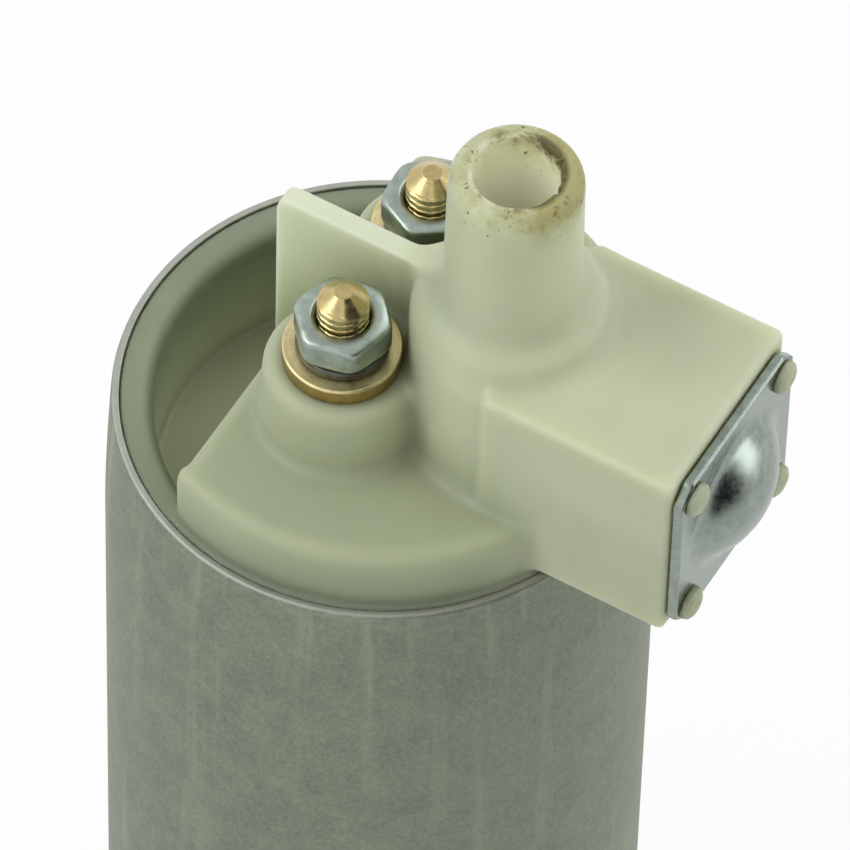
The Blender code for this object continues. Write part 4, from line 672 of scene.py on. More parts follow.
def moulded_acetal(colour, stain):
    """Natural acetal, moulded: waxy and translucent, with painted shade in its corners and painted light in
    its bore, stained at the nozzle's tip.
    """
    made, tree = new_material("natural_acetal")
    place = add(tree, "ShaderNodeTexCoord").outputs["Object"]
    parts = add(tree, "ShaderNodeSeparateXYZ", {"Vector": place}).outputs
    lit_and_shaded_body = acetal_body(tree, place, parts, colour)

    # Painted light: the bore is made as pale as the nozzle's outside, standing in for light coming through
    # its wall
    tip = LIP + NOZZLE_TOP
    across, away = off_axis(tree, place, HUB_X, 0)
    bore = add(tree, "ShaderNodeMapRange", {
        "Value": away, "From Min": (NOZZLE_BORE + 0.5) * MM, "From Max": (NOZZLE_BORE + 0.1) * MM})
    depth = add(tree, "ShaderNodeMapRange", {
        "Value": parts["Z"], "From Min": tip * MM, "From Max": (tip - 5) * MM, "To Min": 0.6})
    bore = add(tree, "ShaderNodeMath", {0: bore, 1: depth}, operation="MULTIPLY")
    lit = add(tree, "ShaderNodeMix", {"Factor": bore, "A": lit_and_shaded_body, "B": shade(BORE_PAINTED_LIGHT)}, data_type="RGBA")

    # Fuel stains: tan round the rim and down its worn side
    side = add(tree, "ShaderNodeVectorMath", {0: across, 1: WORN_SIDE}, operation="DOT_PRODUCT")
    worn = add(tree, "ShaderNodeMapRange", {
        "Value": side, "From Min": -1 * MM, "From Max": 5 * MM, "To Max": 0.45})
    down = add(tree, "ShaderNodeMapRange", {
        "Value": parts["Z"], "From Min": (tip - 4.5) * MM, "From Max": (tip - 1) * MM})
    run = add(tree, "ShaderNodeMath", {0: worn, 1: down}, operation="MULTIPLY")
    rim = add(tree, "ShaderNodeMapRange", {
        "Value": parts["Z"], "From Min": (tip - 1.5) * MM, "From Max": (tip - 0.2) * MM, "To Max": 0.24})
    blotches = add(tree, "ShaderNodeTexNoise", {
        "Vector": place, "Scale": scale_for(1.8), "Detail": 6, "Roughness": 0.7, "Distortion": 0.6})
    patch = add(tree, "ShaderNodeMath", {0: blotches, 1: run}, operation="ADD")
    patch = add(tree, "ShaderNodeMath", {0: patch, 1: rim}, operation="ADD")
    share = add(tree, "ShaderNodeMapRange", {
        "Value": patch, "From Min": 0.56, "From Max": 0.98, "To Max": 0.7})
    share = add(tree, "ShaderNodeMath", {0: share, 1: down}, operation="MULTIPLY")
    tanned = add(tree, "ShaderNodeMix", {"Factor": share, "A": lit, "B": shade(stain)}, data_type="RGBA")

    # Dark spots in the tan, a dark edge where the mouth is broken, and specks
    spots = add(tree, "ShaderNodeTexNoise", {
        "Vector": place, "Scale": scale_for(1.1), "Detail": 5, "Roughness": 0.75, "Distortion": 0.5})
    spots = add(tree, "ShaderNodeMapRange", {
        "Value": spots, "From Min": 0.56, "From Max": 0.66, "To Max": 0.75})
    zone = add(tree, "ShaderNodeMapRange", {"Value": patch, "From Min": 0.68, "From Max": 0.85})
    spots = add(tree, "ShaderNodeMath", {0: spots, 1: zone}, operation="MULTIPLY")
    edge = add(tree, "ShaderNodeMapRange", {
        "Value": away, "From Min": (NOZZLE_BORE + 0.75) * MM, "From Max": (NOZZLE_BORE + 0.35) * MM})
    broken = add(tree, "ShaderNodeMapRange", {"Value": patch, "From Min": 0.8, "From Max": 0.95})
    edge = add(tree, "ShaderNodeMath", {0: edge, 1: broken}, operation="MULTIPLY")
    dark = add(tree, "ShaderNodeMath", {0: spots, 1: edge}, operation="MAXIMUM")
    specks = add(tree, "ShaderNodeTexNoise", {"Vector": place, "Scale": scale_for(0.5), "Detail": 1})
    specks = add(tree, "ShaderNodeMapRange", {"Value": specks, "From Min": 0.7, "From Max": 0.75})
    specks = add(tree, "ShaderNodeMath", {0: specks, 1: down}, operation="MULTIPLY")
    dark = add(tree, "ShaderNodeMath", {0: dark, 1: specks}, operation="MAXIMUM")
    dirty = add(tree, "ShaderNodeMix", {
        "Factor": dark, "A": tanned, "B": shade(stain, 0.35)}, data_type="RGBA")

    grain = add(tree, "ShaderNodeTexNoise", {"Vector": place, "Scale": scale_for(0.5), "Detail": 2})
    bump = add(tree, "ShaderNodeBump", {"Height": grain, "Strength": 0.12, "Distance": 0.05 * MM})
    shader = add(tree, "ShaderNodeBsdfPrincipled", {
        "Base Color": dirty, "Roughness": 0.5, "IOR": 1.48, "Subsurface Weight": 1.0,
        "Subsurface Radius": (1.0, 0.97, 0.7), "Subsurface Scale": 3.2 * MM, "Normal": bump})
    add(tree, "ShaderNodeOutputMaterial", {"Surface": shader})
    return made


def grained(name, light, dark, grain, metallic, roughness, bump_height=0.0):
    """A finish whose colour and roughness wander between two values, with grains of a real size."""
    made, tree = new_material(name)
    place = add(tree, "ShaderNodeTexCoord").outputs["Object"]
    grains = add(tree, "ShaderNodeTexNoise", {
        "Vector": place, "Scale": scale_for(grain), "Detail": 5, "Roughness": 0.65})
    share = add(tree, "ShaderNodeMapRange", {"Value": grains, "From Min": 0.3, "From Max": 0.7})
    colour = add(tree, "ShaderNodeMix", {
        "Factor": share, "A": shade(dark), "B": shade(light)}, data_type="RGBA")
    rough = add(tree, "ShaderNodeMapRange", {
        "Value": grains, "From Min": 0.3, "From Max": 0.7, "To Min": roughness[0], "To Max": roughness[1]})
    bump = add(tree, "ShaderNodeBump", {"Height": grains, "Strength": 0.5, "Distance": bump_height * MM})
    shader = add(tree, "ShaderNodeBsdfPrincipled", {
        "Base Color": colour, "Roughness": rough, "Metallic": metallic, "Normal": bump})
    add(tree, "ShaderNodeOutputMaterial", {"Surface": shader})
    return made


def tarnished_brass(colour):
    """Turned brass gone dull: fine rings from the lathe on its face, and a browner, darker rim, partly
    tarnish and partly a painted dark reflection.
    """
    made, tree = new_material("tarnished_brass")
    place = add(tree, "ShaderNodeTexCoord").outputs["Object"]
    mirrored = add(tree, "ShaderNodeVectorMath", {0: place}, operation="ABSOLUTE")
    ringed = add(tree, "ShaderNodeCombineXYZ", {"X": off_axis(tree, mirrored, 0, TERMINAL_Y)[1]})
    rings = add(tree, "ShaderNodeTexNoise", {
        "Vector": ringed, "Scale": scale_for(0.22), "Detail": 4, "Roughness": 0.7})
    clouds = add(tree, "ShaderNodeTexNoise", {
        "Vector": place, "Scale": scale_for(0.9), "Detail": 6, "Roughness": 0.7})
    both = add(tree, "ShaderNodeMath", {0: rings, 1: clouds}, operation="ADD")
    share = add(tree, "ShaderNodeMapRange", {"Value": both, "From Min": 0.75, "From Max": 1.25})
    face = add(tree, "ShaderNodeMix", {
        "Factor": share, "A": shade(colour, 0.72), "B": shade(colour, 1.12)}, data_type="RGBA")
    height = add(tree, "ShaderNodeSeparateXYZ", {"Vector": place}).outputs["Z"]
    # Painted dark reflection, with some tarnish: the washer's side under its top face is made darker and
    # browner
    rim = add(tree, "ShaderNodeMapRange", {
        "Value": height, "From Min": (WASHER_HIGH[2] - 0.1) * MM,
        "From Max": (WASHER_HIGH[2] - 0.28) * MM})
    tarnish_and_dark_reflection = add(tree, "ShaderNodeMix", {
        "Factor": rim, "A": face, "B": shade(RIM_TARNISH_AND_REFLECTION_TINT)}, data_type="RGBA", blend_type="MULTIPLY")
    rough = add(tree, "ShaderNodeMapRange", {
        "Value": clouds, "From Min": 0.3, "From Max": 0.7, "To Min": 0.3, "To Max": 0.5})
    bump = add(tree, "ShaderNodeBump", {"Height": rings, "Strength": 0.4, "Distance": 0.02 * MM})
    shader = add(tree, "ShaderNodeBsdfPrincipled", {
        "Base Color": tarnish_and_dark_reflection, "Roughness": rough, "Metallic": 1.0, "Normal": bump})
    add(tree, "ShaderNodeOutputMaterial", {"Surface": shader})
    return made


def can_radius(z, settings):
    """Outer radius of the can at height z."""
    length = settings.mouth_length / MM
    rise = max(0.0, (z - (LIP - length)) / length)
    return CAN_HIGH[0] - settings.mouth_inset / MM * rise ** 1.5


class FUELPUMP_OT_can(bpy.types.Operator):
    """Make the drawn aluminium can, with its mouth drawn in and its base rolled over"""
    bl_idname = "fuel_pump.can"
    bl_label = "Can"

    def execute(self, context):
        settings = context.scene.fuel_pump_can
        wall = settings.wall / MM
        roll = settings.roll_radius / MM
        round_out = 0.3
        round_in = round_out / 3
        lip_wall = settings.lip_wall / MM
        radius = CAN_HIGH[0]
        mouth = LIP - settings.mouth_length / MM
        rise = np.linspace(mouth, LIP - round_out, 14)
        outer = [(can_radius(z, settings), z) for z in reversed(rise)]
        inner = [(can_radius(z, settings) - float(np.interp(LIP - z, (0, 2), (lip_wall, wall))), z)
                 for z in rise]
        top = can_radius(LIP, settings)
        outline = arc((top - lip_wall + round_in, LIP - round_in), round_in, 180, 90, 4)
        outline += arc((top - round_out, LIP - round_out), round_out, 90, 0, 6)[:-1]
        outline += outer
        outline += [(radius, z) for z in np.linspace(mouth - 1, roll, 12)]
        outline += arc((radius - roll, roll), roll, 0, -90, 10)[1:]
        edge = radius - roll - 0.9
        outline += [(edge + 0.1, 0), (edge, 0.15), (edge, wall - 0.1), (edge + 0.1, wall)]
        outline += arc((radius - roll, roll), roll - wall, -90, 0, 8)
        outline += inner
        look = drawn_aluminium(settings.colour)
        fit(turned("can", outline, 192), look, "housing", "drawn_aluminium", "casing")
        return {"FINISHED"}


def ragged_edge(x, y, up):
    """How far the bore's worn mouth is broken out, on the side that faces away from the can's axis."""
    angle = np.arctan2(y, x - HUB_X)
    teeth = np.sin(7 * angle + 1) + np.sin(13 * angle + 2.3) + np.sin(23 * angle + 0.7)
    worn = np.clip(teeth - 0.3, 0, 1) * smooth_step(0.35, 0.9, np.cos(angle - 0.5))
    return RAGGED_DEPTH * worn * smooth_step(NOZZLE_TOP - 1.3, NOZZLE_TOP - 0.4, up)


def cap_field(fillet, edge):
    """The moulded cap as a distance field in millimetres."""
    def field(x, y, z):
        up = z - LIP
        radius = np.hypot(x, y)
        outer = radius - np.interp(up, SKIRT_HEIGHTS, SKIRT_RADII)
        skirt = common(outer, -(up + SKIRT_DEPTH), edge)
        raised = common(radius - PLATFORM_RADIUS, skirt)
        raised = common(common(raised, up - PLATFORM, PLATFORM_ROUND), CHORD_X - x, CHORD_ROUND)
        collar = common(skirt, up + COLLAR_DROP, COLLAR_ROUND)
        body = union(raised, collar, 0.5)
        pocket = every(0.4, radius - POCKET_RADIUS, x - CHORD_X, -(up + POCKET_DEPTH))
        body = without(body, pocket, POCKET_ROUND)

        # What stands on the platform starts inside it
        inside = PLATFORM - 2 - up
        for side in (-1, 1):
            off = np.hypot(x, y - side * TERMINAL_Y)
            taper = (up - PLATFORM) / (BOSS_TOP - PLATFORM)
            width = BOSS_FOOT_RADIUS + (BOSS_TOP_RADIUS - BOSS_FOOT_RADIUS) * taper
            boss = common(common(off - width, up - BOSS_TOP, BOSS_ROUND), inside)
            body = union(body, boss, BOSS_FILLET)
        rib = every(RIB_ROUND, slab(y, -RIB_HALF, RIB_HALF), slab(x, RIB_X, HUB_X - 3),
                    -(up + POCKET_DEPTH + 1), up - RIB_TOP)
        corner = np.hypot(np.minimum(x - (RIB_X + RIB_CORNER), 0),
                          np.maximum(up - (RIB_TOP - RIB_CORNER), 0)) - RIB_CORNER
        rib = common(rib, corner, RIB_ROUND)
        body = union(body, rib, 0.5)

        off = np.hypot(x - HUB_X, y)
        hub = common(common(off - HUB_RADIUS, up - HUB_TOP, HUB_ROUND), inside)
        body = union(body, hub, HUB_FILLET)
        share = np.clip((up - HUB_TOP) / (NOZZLE_TOP - HUB_TOP), 0, 1)
        nozzle = off - (NOZZLE_FOOT_RADIUS + (NOZZLE_TIP_RADIUS - NOZZLE_FOOT_RADIUS) * share)
        nozzle = common(nozzle, up - NOZZLE_TOP, NOZZLE_ROUND)
        nozzle = common(nozzle, PLATFORM - up)
        body = union(body, nozzle, NOZZLE_FILLET)
        flank = common(np.hypot(x - FLANK_X, y) - FLANK_RADIUS, up - (BLOCK_TOP - 0.3), FLANK_ROUND)
        body = union(body, common(flank, inside), HUB_FILLET)
        block = every(edge, slab(x, BLOCK_START, BLOCK_END), slab(y, -BLOCK_HALF, BLOCK_HALF),
                      slab(up, BLOCK_BOTTOM, BLOCK_TOP))
        body = union(body, block, fillet)

        # Bores and hollows
        chamber = common(radius - (SKIRT_RADIUS - SKIRT_WALL), up - ROOF)
        pocket_room = common(x - (CHORD_X + POCKET_WALL), -(up + POCKET_DEPTH + POCKET_WALL))
        body = without(body, without(chamber, pocket_room, 0.3), 0.3)
        for side in (-1, 1):
            stud = common(np.hypot(x, y - side * TERMINAL_Y) - (STUD_RADIUS + 0.06), ROOF - 1 - up)
            body = without(body, stud, 0.1)
        body = without(body, common(off - NOZZLE_BORE - ragged_edge(x, y, up), ROOF - 1 - up), 0.4)
        body = without(body, every(0, off - VALVE_BORE, slab(up, ROOF - 1, VALVE_BORE_TOP)), 0.1)
        across = np.hypot(y, z - RELIEF_Z)
        body = without(body, every(0, across - RELIEF_BORE, RELIEF_BORE_START - x), 0.2)
        body = without(body, every(0, across - RELIEF_DUCT, slab(x, HUB_X, RELIEF_BORE_START + 1)), 0.1)
        port = every(0, np.hypot(x - RETURN_X, y) - RETURN_BORE, up - RETURN_TOP)
        body = without(body, port, 0.2)
        for dy, dz in POST_PLACES:
            post = every(0, np.hypot(y - dy, z - RELIEF_Z - dz) - POST_RADIUS,
                         slab(x, BLOCK_END - 1, PLATE_HIGH[0] - DOME_HEIGHT + 0.3))
            body = union(body, post)
        groove = every(0, SEAL_GROOVE_RADIUS - radius, np.abs(z - SEAL_Z) - SEAL_GROOVE_HALF)
        return without(body, groove, 0.1)

    return field


class FUELPUMP_OT_cap(bpy.types.Operator):
    """Make the one-piece moulded cap"""
    bl_idname = "fuel_pump.cap"
    bl_label = "Cap"

    def execute(self, context):
        settings = context.scene.fuel_pump_cap
        cell = settings.cell / MM
        margin = 3 * cell
        field = cap_field(settings.fillet / MM, settings.edge / MM)
        side = SKIRT_RADIUS + margin
        xs = levels((-side, CAP_HIGH[0] + margin, cell))
        ys = levels((-side, side, cell))
        zs = levels((CAP_LOW[2] - margin, LIP - 12, 3 * cell), (LIP - 12, CAP_HIGH[2] + margin, cell))
        points, faces, normals = surface(field, xs, ys, zs)
        look = moulded_acetal(settings.colour, settings.stain)
        fit(new_piece("moulded_cap", points, faces, normals), look, "housing", "moulded_acetal", "end_cap")
        return {"FINISHED"}


def stud_outline(z, angle, pitch):
    """Radius of the threaded stud at a height and angle."""
    tip = STUD_HIGH[2] + STUD_TIP_RISE
    turn = (z / pitch - angle / (2 * math.pi)) % 1
    groove = np.clip(1.15 - np.abs(turn - 0.5) * 7, 0, 1)
    thread = STUD_RADIUS - THREAD_DEPTH * groove
    cone = STUD_TIP_RADIUS + (tip - z) * (STUD_RADIUS - STUD_TIP_RADIUS) / STUD_TIP_DROP
    fade = smooth_step(WASHER_LOW[2] - 1, WASHER_LOW[2] + 1, z)
    return np.minimum(STUD_RADIUS + (thread - STUD_RADIUS) * fade, cone)


def terminal_solid(kind, mark):
    """Lowest and highest corner of a terminal's solid, and the middle between its sides."""
    low, high = corners(f"{kind}_{mark}")
    return low, high, (low[1] + high[1]) / 2


def make_stud(mark, pitch, look):
    """A brass stud with its thread, flange and riveted foot."""
    low, high, middle_y = terminal_solid("terminal_stud", mark)
    high[2] += STUD_TIP_RISE
    facets = 72
    flange_top = LIP + ROOF - 0.1
    angles = np.linspace(0, 2 * math.pi, facets, endpoint=False)
    heights = np.concatenate([np.arange(high[2], WASHER_LOW[2] - 1, -0.05),
                              np.linspace(WASHER_LOW[2] - 1.2, flange_top, 8)])
    rows = [np.stack([stud_outline(np.full(facets, z), angles, pitch), np.full(facets, z)], 1)
            for z in heights]
    foot = [(radius, flange_top - drop) for radius, drop in STUD_FOOT] + [(1.5, low[2])]
    rows += [np.stack([np.full(facets, r), np.full(facets, z)], 1) for r, z in foot]
    rows = np.array(rows)
    points = np.stack([rows[:, :, 0] * np.cos(angles), rows[:, :, 0] * np.sin(angles) + middle_y,
                       rows[:, :, 1]], 2)
    points = np.concatenate([points.reshape(-1, 3), [[0, middle_y, high[2]], [0, middle_y, low[2]]]])
    faces = [(a, d, c, b) for a, b, c, d in band_faces(len(rows), facets)]
    top, bottom = len(rows) * facets, len(rows) * facets + 1
    last = (len(rows) - 1) * facets
    for column in range(facets):
        right = (column + 1) % facets
        faces.append((top, column, right))
        faces.append((bottom, last + right, last + column))
    piece = new_piece(f"stud_{mark}", points, faces)
    piece.data.set_sharp_from_angle(angle=math.radians(32))
    return fit(piece, look, "housing", "brass", f"terminal_stud_{mark}")


def make_nut(mark, look):
    """A plated hexagon nut with both faces chamfered."""
    low, high, middle_y = terminal_solid("terminal_nut", mark)
    low[2] = LOCK_LOW[2] + LOCK_HEIGHT + 0.03
    turn = math.radians(NUT_TURNS[mark])

    def field(x, y, z):
        y = y - middle_y
        radius = np.hypot(x, y)
        shape = slab(z, low[2], high[2])
        for number in range(3):
            angle = turn + math.radians(30 + 60 * number)
            shape = common(shape, np.abs(x * math.cos(angle) + y * math.sin(angle)) - NUT_FLATS / 2, 0.2)
        for drop in (z - high[2], low[2] - z):
            cone = drop * math.cos(NUT_FACE_SLOPE) + (radius - NUT_FACE_RADIUS) * math.sin(NUT_FACE_SLOPE)
            shape = common(shape, cone, 0.22)
        shape = common(shape, radius - NUT_CORNER_RADIUS, 0.2)
        shape = without(shape, radius - (STUD_RADIUS + 0.1), 0.1)
        return without(shape, (radius - NUT_SINK_RADIUS - (z - high[2])) / math.sqrt(2), 0.1)

    reach = 4.4
    xs = levels((-reach, reach, NUT_CELL))
    ys = levels((middle_y - reach, middle_y + reach, NUT_CELL))
    zs = levels((low[2] - 0.4, high[2] + 0.4, NUT_CELL))
    points, faces, normals = surface(field, xs, ys, zs)
    return fit(new_piece(f"nut_{mark}", points, faces, normals), look, "housing", "zinc_plated_steel",
               f"terminal_nut_{mark}")


def make_lock_washer(mark, look):
    """A spring washer with a slit through its ring."""
    low, high, middle_y = terminal_solid("lock_washer", mark)
    high[2] = low[2] + LOCK_HEIGHT
    start = math.radians(NUT_TURNS[mark]) + LOCK_SLIT / 2
    count = 72
    bore, rim = LOCK_RADII
    section = rounded([(bore, high[2], 0.12), (rim, high[2], 0.2),
                       (rim, low[2], 0.2), (bore, low[2], 0.12)], 3)
    angles = start + np.linspace(0, 2 * math.pi - LOCK_SLIT, count + 1)
    points = [(r * math.cos(a), r * math.sin(a) + middle_y, z) for a in angles for r, z in section]
    size = len(section)
    faces = band_faces(count + 1, size)
    faces.append(tuple(range(size))[::-1])
    faces.append(tuple(count * size + row for row in range(size)))
    piece = new_piece(f"lock_washer_{mark}_split", points, faces)
    piece.data.set_sharp_from_angle(angle=math.radians(50))
    return fit(piece, look, "housing", "zinc_plated_steel", f"lock_washer_{mark}")


class FUELPUMP_OT_terminals(bpy.types.Operator):
    """Make the two terminals: studs, flat washers, lock washers and nuts"""
    bl_idname = "fuel_pump.terminals"
    bl_label = "Terminals"

    def execute(self, context):
        settings = context.scene.fuel_pump_terminals
        # Turned brass: bright and smooth, with a faint wander in its shine
        brass = grained("turned_brass", settings.brass, Vector(settings.brass) * 0.8, 0.6, 1.0, (0.2, 0.32),
                        0.01)
        tarnished = tarnished_brass(settings.tarnish)
        # Zinc plating on steel: cool and soft, clouded by handling
        zinc = grained("zinc_plating", settings.zinc, Vector(settings.zinc) * 0.72, 0.9, 1.0, (0.26, 0.46),
                       0.015)
        # Phosphated spring steel: dark grey with a low sheen
        dark = grained("phosphated_spring_steel", linear("6C6F66"), linear("494B43"), 0.8, 1.0, (0.35, 0.5),
                       0.01)
        for mark in NUT_TURNS:
            make_stud(mark, settings.pitch / MM, brass)
            make_nut(mark, zinc)
            make_lock_washer(mark, dark)
            low, high, middle_y = terminal_solid("terminal_washer", mark)
            outline = rounded([(WASHER_BORE, high[2], 0.1), (high[0], high[2], 0.16),
                               (high[0], low[2], 0.16), (WASHER_BORE, low[2], 0.1)])
            washer = turned(f"flat_washer_{mark}", outline, 128, (0, middle_y, 0))
            fit(washer, tarnished, "housing", "brass", f"terminal_washer_{mark}")
        return {"FINISHED"}


class FUELPUMP_OT_relief_plate(bpy.types.Operator):
    """Make the stamped plate over the relief valve"""
    bl_idname = "fuel_pump.relief_plate"
    bl_label = "Relief plate"

    def execute(self, context):
        inner = PLATE_LOW[0]
        outer = inner + PLATE_WALL
        half = (PLATE_HIGH[2] - PLATE_LOW[2]) / 2
        sphere = (DOME_RADIUS ** 2 + DOME_HEIGHT ** 2) / (2 * DOME_HEIGHT)
        centre = outer + DOME_HEIGHT - sphere

        def field(x, y, z):
            up = z - RELIEF_Z
            sheet = every(0.2, slab(x, inner, outer), np.abs(y) - half, np.abs(up) - half,
                          (np.abs(y) + np.abs(up) - (2 * half - PLATE_CORNER)) / math.sqrt(2))
            distance = np.sqrt((x - centre) ** 2 + y ** 2 + up ** 2)
            shape = union(sheet, common(distance - sphere, inner - x), 0.6)
            shape = without(shape, distance - (sphere - PLATE_WALL), 0.3)
            for dy, dz in POST_PLACES:
                shape = without(shape, np.hypot(y - dy, up - dz) - (POST_RADIUS + 0.1))
            return shape

        xs = levels((inner - 0.5, PLATE_HIGH[0] + 0.5, 0.16))
        ys = levels((-half - 0.5, half + 0.5, 0.16))
        zs = levels((RELIEF_Z - half - 0.5, RELIEF_Z + half + 0.5, 0.16))
        points, faces, normals = surface(field, xs, ys, zs)
        settings = context.scene.fuel_pump_terminals
        # Zinc plating on stamped sheet: satin, clouded by handling
        zinc = Vector(settings.zinc)
        look = grained("stamped_zinc_plate", zinc * 0.78, zinc * 0.52, 0.9, 1.0, (0.2, 0.36), 0.02)
        fit(new_piece("stamped_plate", points, faces, normals), look, "housing", "zinc_plated_steel",
            "relief_valve_plate")
        return {"FINISHED"}


def staked_heads_tree(look):
    """Geometry Nodes that put a staked head on each corner of a rectangle."""
    tree = bpy.data.node_groups.new("staked_heads", "GeometryNodeTree")
    face = tree.interface
    face.new_socket("Head", in_out="INPUT", socket_type="NodeSocketObject")
    for title in ("Spacing across", "Spacing up", "Out", "Middle height"):
        face.new_socket(title, in_out="INPUT", socket_type="NodeSocketFloat")
    face.new_socket("Geometry", in_out="OUTPUT", socket_type="NodeSocketGeometry")
    source = add(tree, "NodeGroupInput").outputs
    grid = add(tree, "GeometryNodeMeshGrid", {
        "Size X": source["Spacing up"], "Size Y": source["Spacing across"], "Vertices X": 2,
        "Vertices Y": 2})
    place = add(tree, "ShaderNodeCombineXYZ", {"X": source["Out"], "Z": source["Middle height"]})
    moved = add(tree, "GeometryNodeTransform", {
        "Geometry": grid, "Rotation": (0, math.pi / 2, 0), "Translation": place})
    head = add(tree, "GeometryNodeObjectInfo", {"Object": source["Head"]})
    copies = add(tree, "GeometryNodeInstanceOnPoints", {
        "Points": moved, "Instance": head.outputs["Geometry"]})
    real = add(tree, "GeometryNodeRealizeInstances", {"Geometry": copies})
    painted = add(tree, "GeometryNodeSetMaterial", {"Geometry": real, "Material": look})
    add(tree, "NodeGroupOutput", {"Geometry": painted})
    return tree


def run_tree(name, tree, values):
    """Runs a Geometry Nodes tree with named inputs and returns its result as a plain mesh piece."""
    holder = bpy.data.objects.new(name, bpy.data.meshes.new(name))
    bpy.context.scene.collection.objects.link(holder)
    modifier = holder.modifiers.new("nodes", "NODES")
    modifier.node_group = tree
    for item in tree.interface.items_tree:
        if item.item_type == "SOCKET" and item.in_out == "INPUT" and item.name in values:
            modifier[item.identifier] = values[item.name]
    bpy.context.view_layer.update()
    evaluated = holder.evaluated_get(bpy.context.evaluated_depsgraph_get())
    mesh = bpy.data.meshes.new_from_object(evaluated)
    holder.modifiers.remove(modifier)
    holder.data = mesh
    mesh.name = name
    return holder


class FUELPUMP_OT_staked_heads(bpy.types.Operator):
    """Make the heads of the cap's four posts, staked over the plate's corners"""
    bl_idname = "fuel_pump.staked_heads"
    bl_label = "Staked heads"

    def execute(self, context):
        look = bpy.data.objects["moulded_cap"].data.materials[0]
        head = turned("staked_head", rounded(HEAD_OUTLINE, 4), 40, along=0)
        values = {"Head": head, "Spacing across": 2 * POST_Y * MM, "Spacing up": 2 * POST_Z * MM,
                  "Out": (PLATE_LOW[0] + PLATE_WALL + 0.08) * MM, "Middle height": RELIEF_Z * MM}
        heads = run_tree("staked_heads", staked_heads_tree(look), values)
        bpy.data.objects.remove(head, do_unlink=True)
        heads.data.shade_smooth()
        fit(heads, look, "housing", "moulded_acetal")
        return {"FINISHED"}


class FUELPUMP_OT_inlet_cover(bpy.types.Operator):
    """Make the cast cover in the can's base, with its foot ring, ribs and suction port"""
    bl_idname = "fuel_pump.inlet_cover"
    bl_label = "Inlet cover"

    def execute(self, context):
        top = COVER_HIGH[2]

        def field(x, y, z):
            radius = np.hypot(x, y)
            body = every(0.2, radius - COVER_HIGH[0], slab(z, COVER_BACK, top),
                         (radius - COVER_CHAMFER_RADIUS + (COVER_BACK - z)) / math.sqrt(2))
            body = union(body, every(0.35, radius - FOOT_RING_RADIUS, slab(z, 0.0, FOOT_RING_TOP)), 0.2)
            recess = every(0.0, radius - RECESS_RADII[1], RECESS_RADII[0] - radius, z - RECESS_TOP)
            angle = np.arctan2(y, x) % (2 * math.pi / COVER_RIBS) - math.pi / COVER_RIBS
            recess = without(recess, np.abs(radius * np.sin(angle)) - COVER_RIB_HALF, 0.35)
            inlet = np.hypot(x, y - INLET_Y)
            recess = without(recess, inlet - INLET_BOSS_RADIUS, 0.35)
            body = without(body, recess, 0.4)
            kidney = every(0.1, np.abs(radius - KIDNEY_RADIUS) - KIDNEY_HALF,
                           np.abs(np.arctan2(x, y)) * KIDNEY_RADIUS - KIDNEY_REACH, top - 2 - z)
            body = without(body, kidney)
            body = without(body, every(0, inlet - INLET_BORE, z - top + 1), 0.3)
            return without(body, every(0, radius - SHAFT_BORE, top - 3 - z))

        xs = levels((-21.5, 21.5, 0.36))
        zs = levels((-0.9, 3.6, 0.3), (3.6, top + 0.9, 0.9))
        points, faces, normals = surface(field, xs, xs, zs)
        # Die-cast aluminium: grey and slightly rough, with the mould's fine grain
        look = grained("die_cast_aluminium", linear("A9ABA8"), linear("7F827F"), 0.9, 1.0, (0.45, 0.65),
                       0.05)
        fit(new_piece("cast_cover", points, faces, normals), look, "housing", "cast_aluminium",
            "inlet_cover")
        return {"FINISHED"}


def spring_tree(look):
    """Geometry Nodes that wind a spring of round wire along +Z."""
    tree = bpy.data.node_groups.new("wound_spring", "GeometryNodeTree")
    face = tree.interface
    for title in ("Turns", "Start radius", "End radius", "Length", "Wire radius"):
        face.new_socket(title, in_out="INPUT", socket_type="NodeSocketFloat")
    face.new_socket("Place", in_out="INPUT", socket_type="NodeSocketVector")
    face.new_socket("Turn", in_out="INPUT", socket_type="NodeSocketVector")
    face.new_socket("Geometry", in_out="OUTPUT", socket_type="NodeSocketGeometry")
    source = add(tree, "NodeGroupInput").outputs
    path = add(tree, "GeometryNodeCurveSpiral", {
        "Resolution": 28, "Rotations": source["Turns"], "Start Radius": source["Start radius"],
        "End Radius": source["End radius"], "Height": source["Length"]})
    wire = add(tree, "GeometryNodeCurvePrimitiveCircle", {
        "Resolution": 10, "Radius": source["Wire radius"]}).outputs["Curve"]
    swept = add(tree, "GeometryNodeCurveToMesh", {"Curve": path, "Profile Curve": wire, "Fill Caps": True})
    moved = add(tree, "GeometryNodeTransform", {
        "Geometry": swept, "Translation": source["Place"], "Rotation": source["Turn"]})
    real = add(tree, "GeometryNodeRealizeInstances", {"Geometry": moved})
    painted = add(tree, "GeometryNodeSetMaterial", {"Geometry": real, "Material": look})
    add(tree, "NodeGroupOutput", {"Geometry": painted})
    return tree


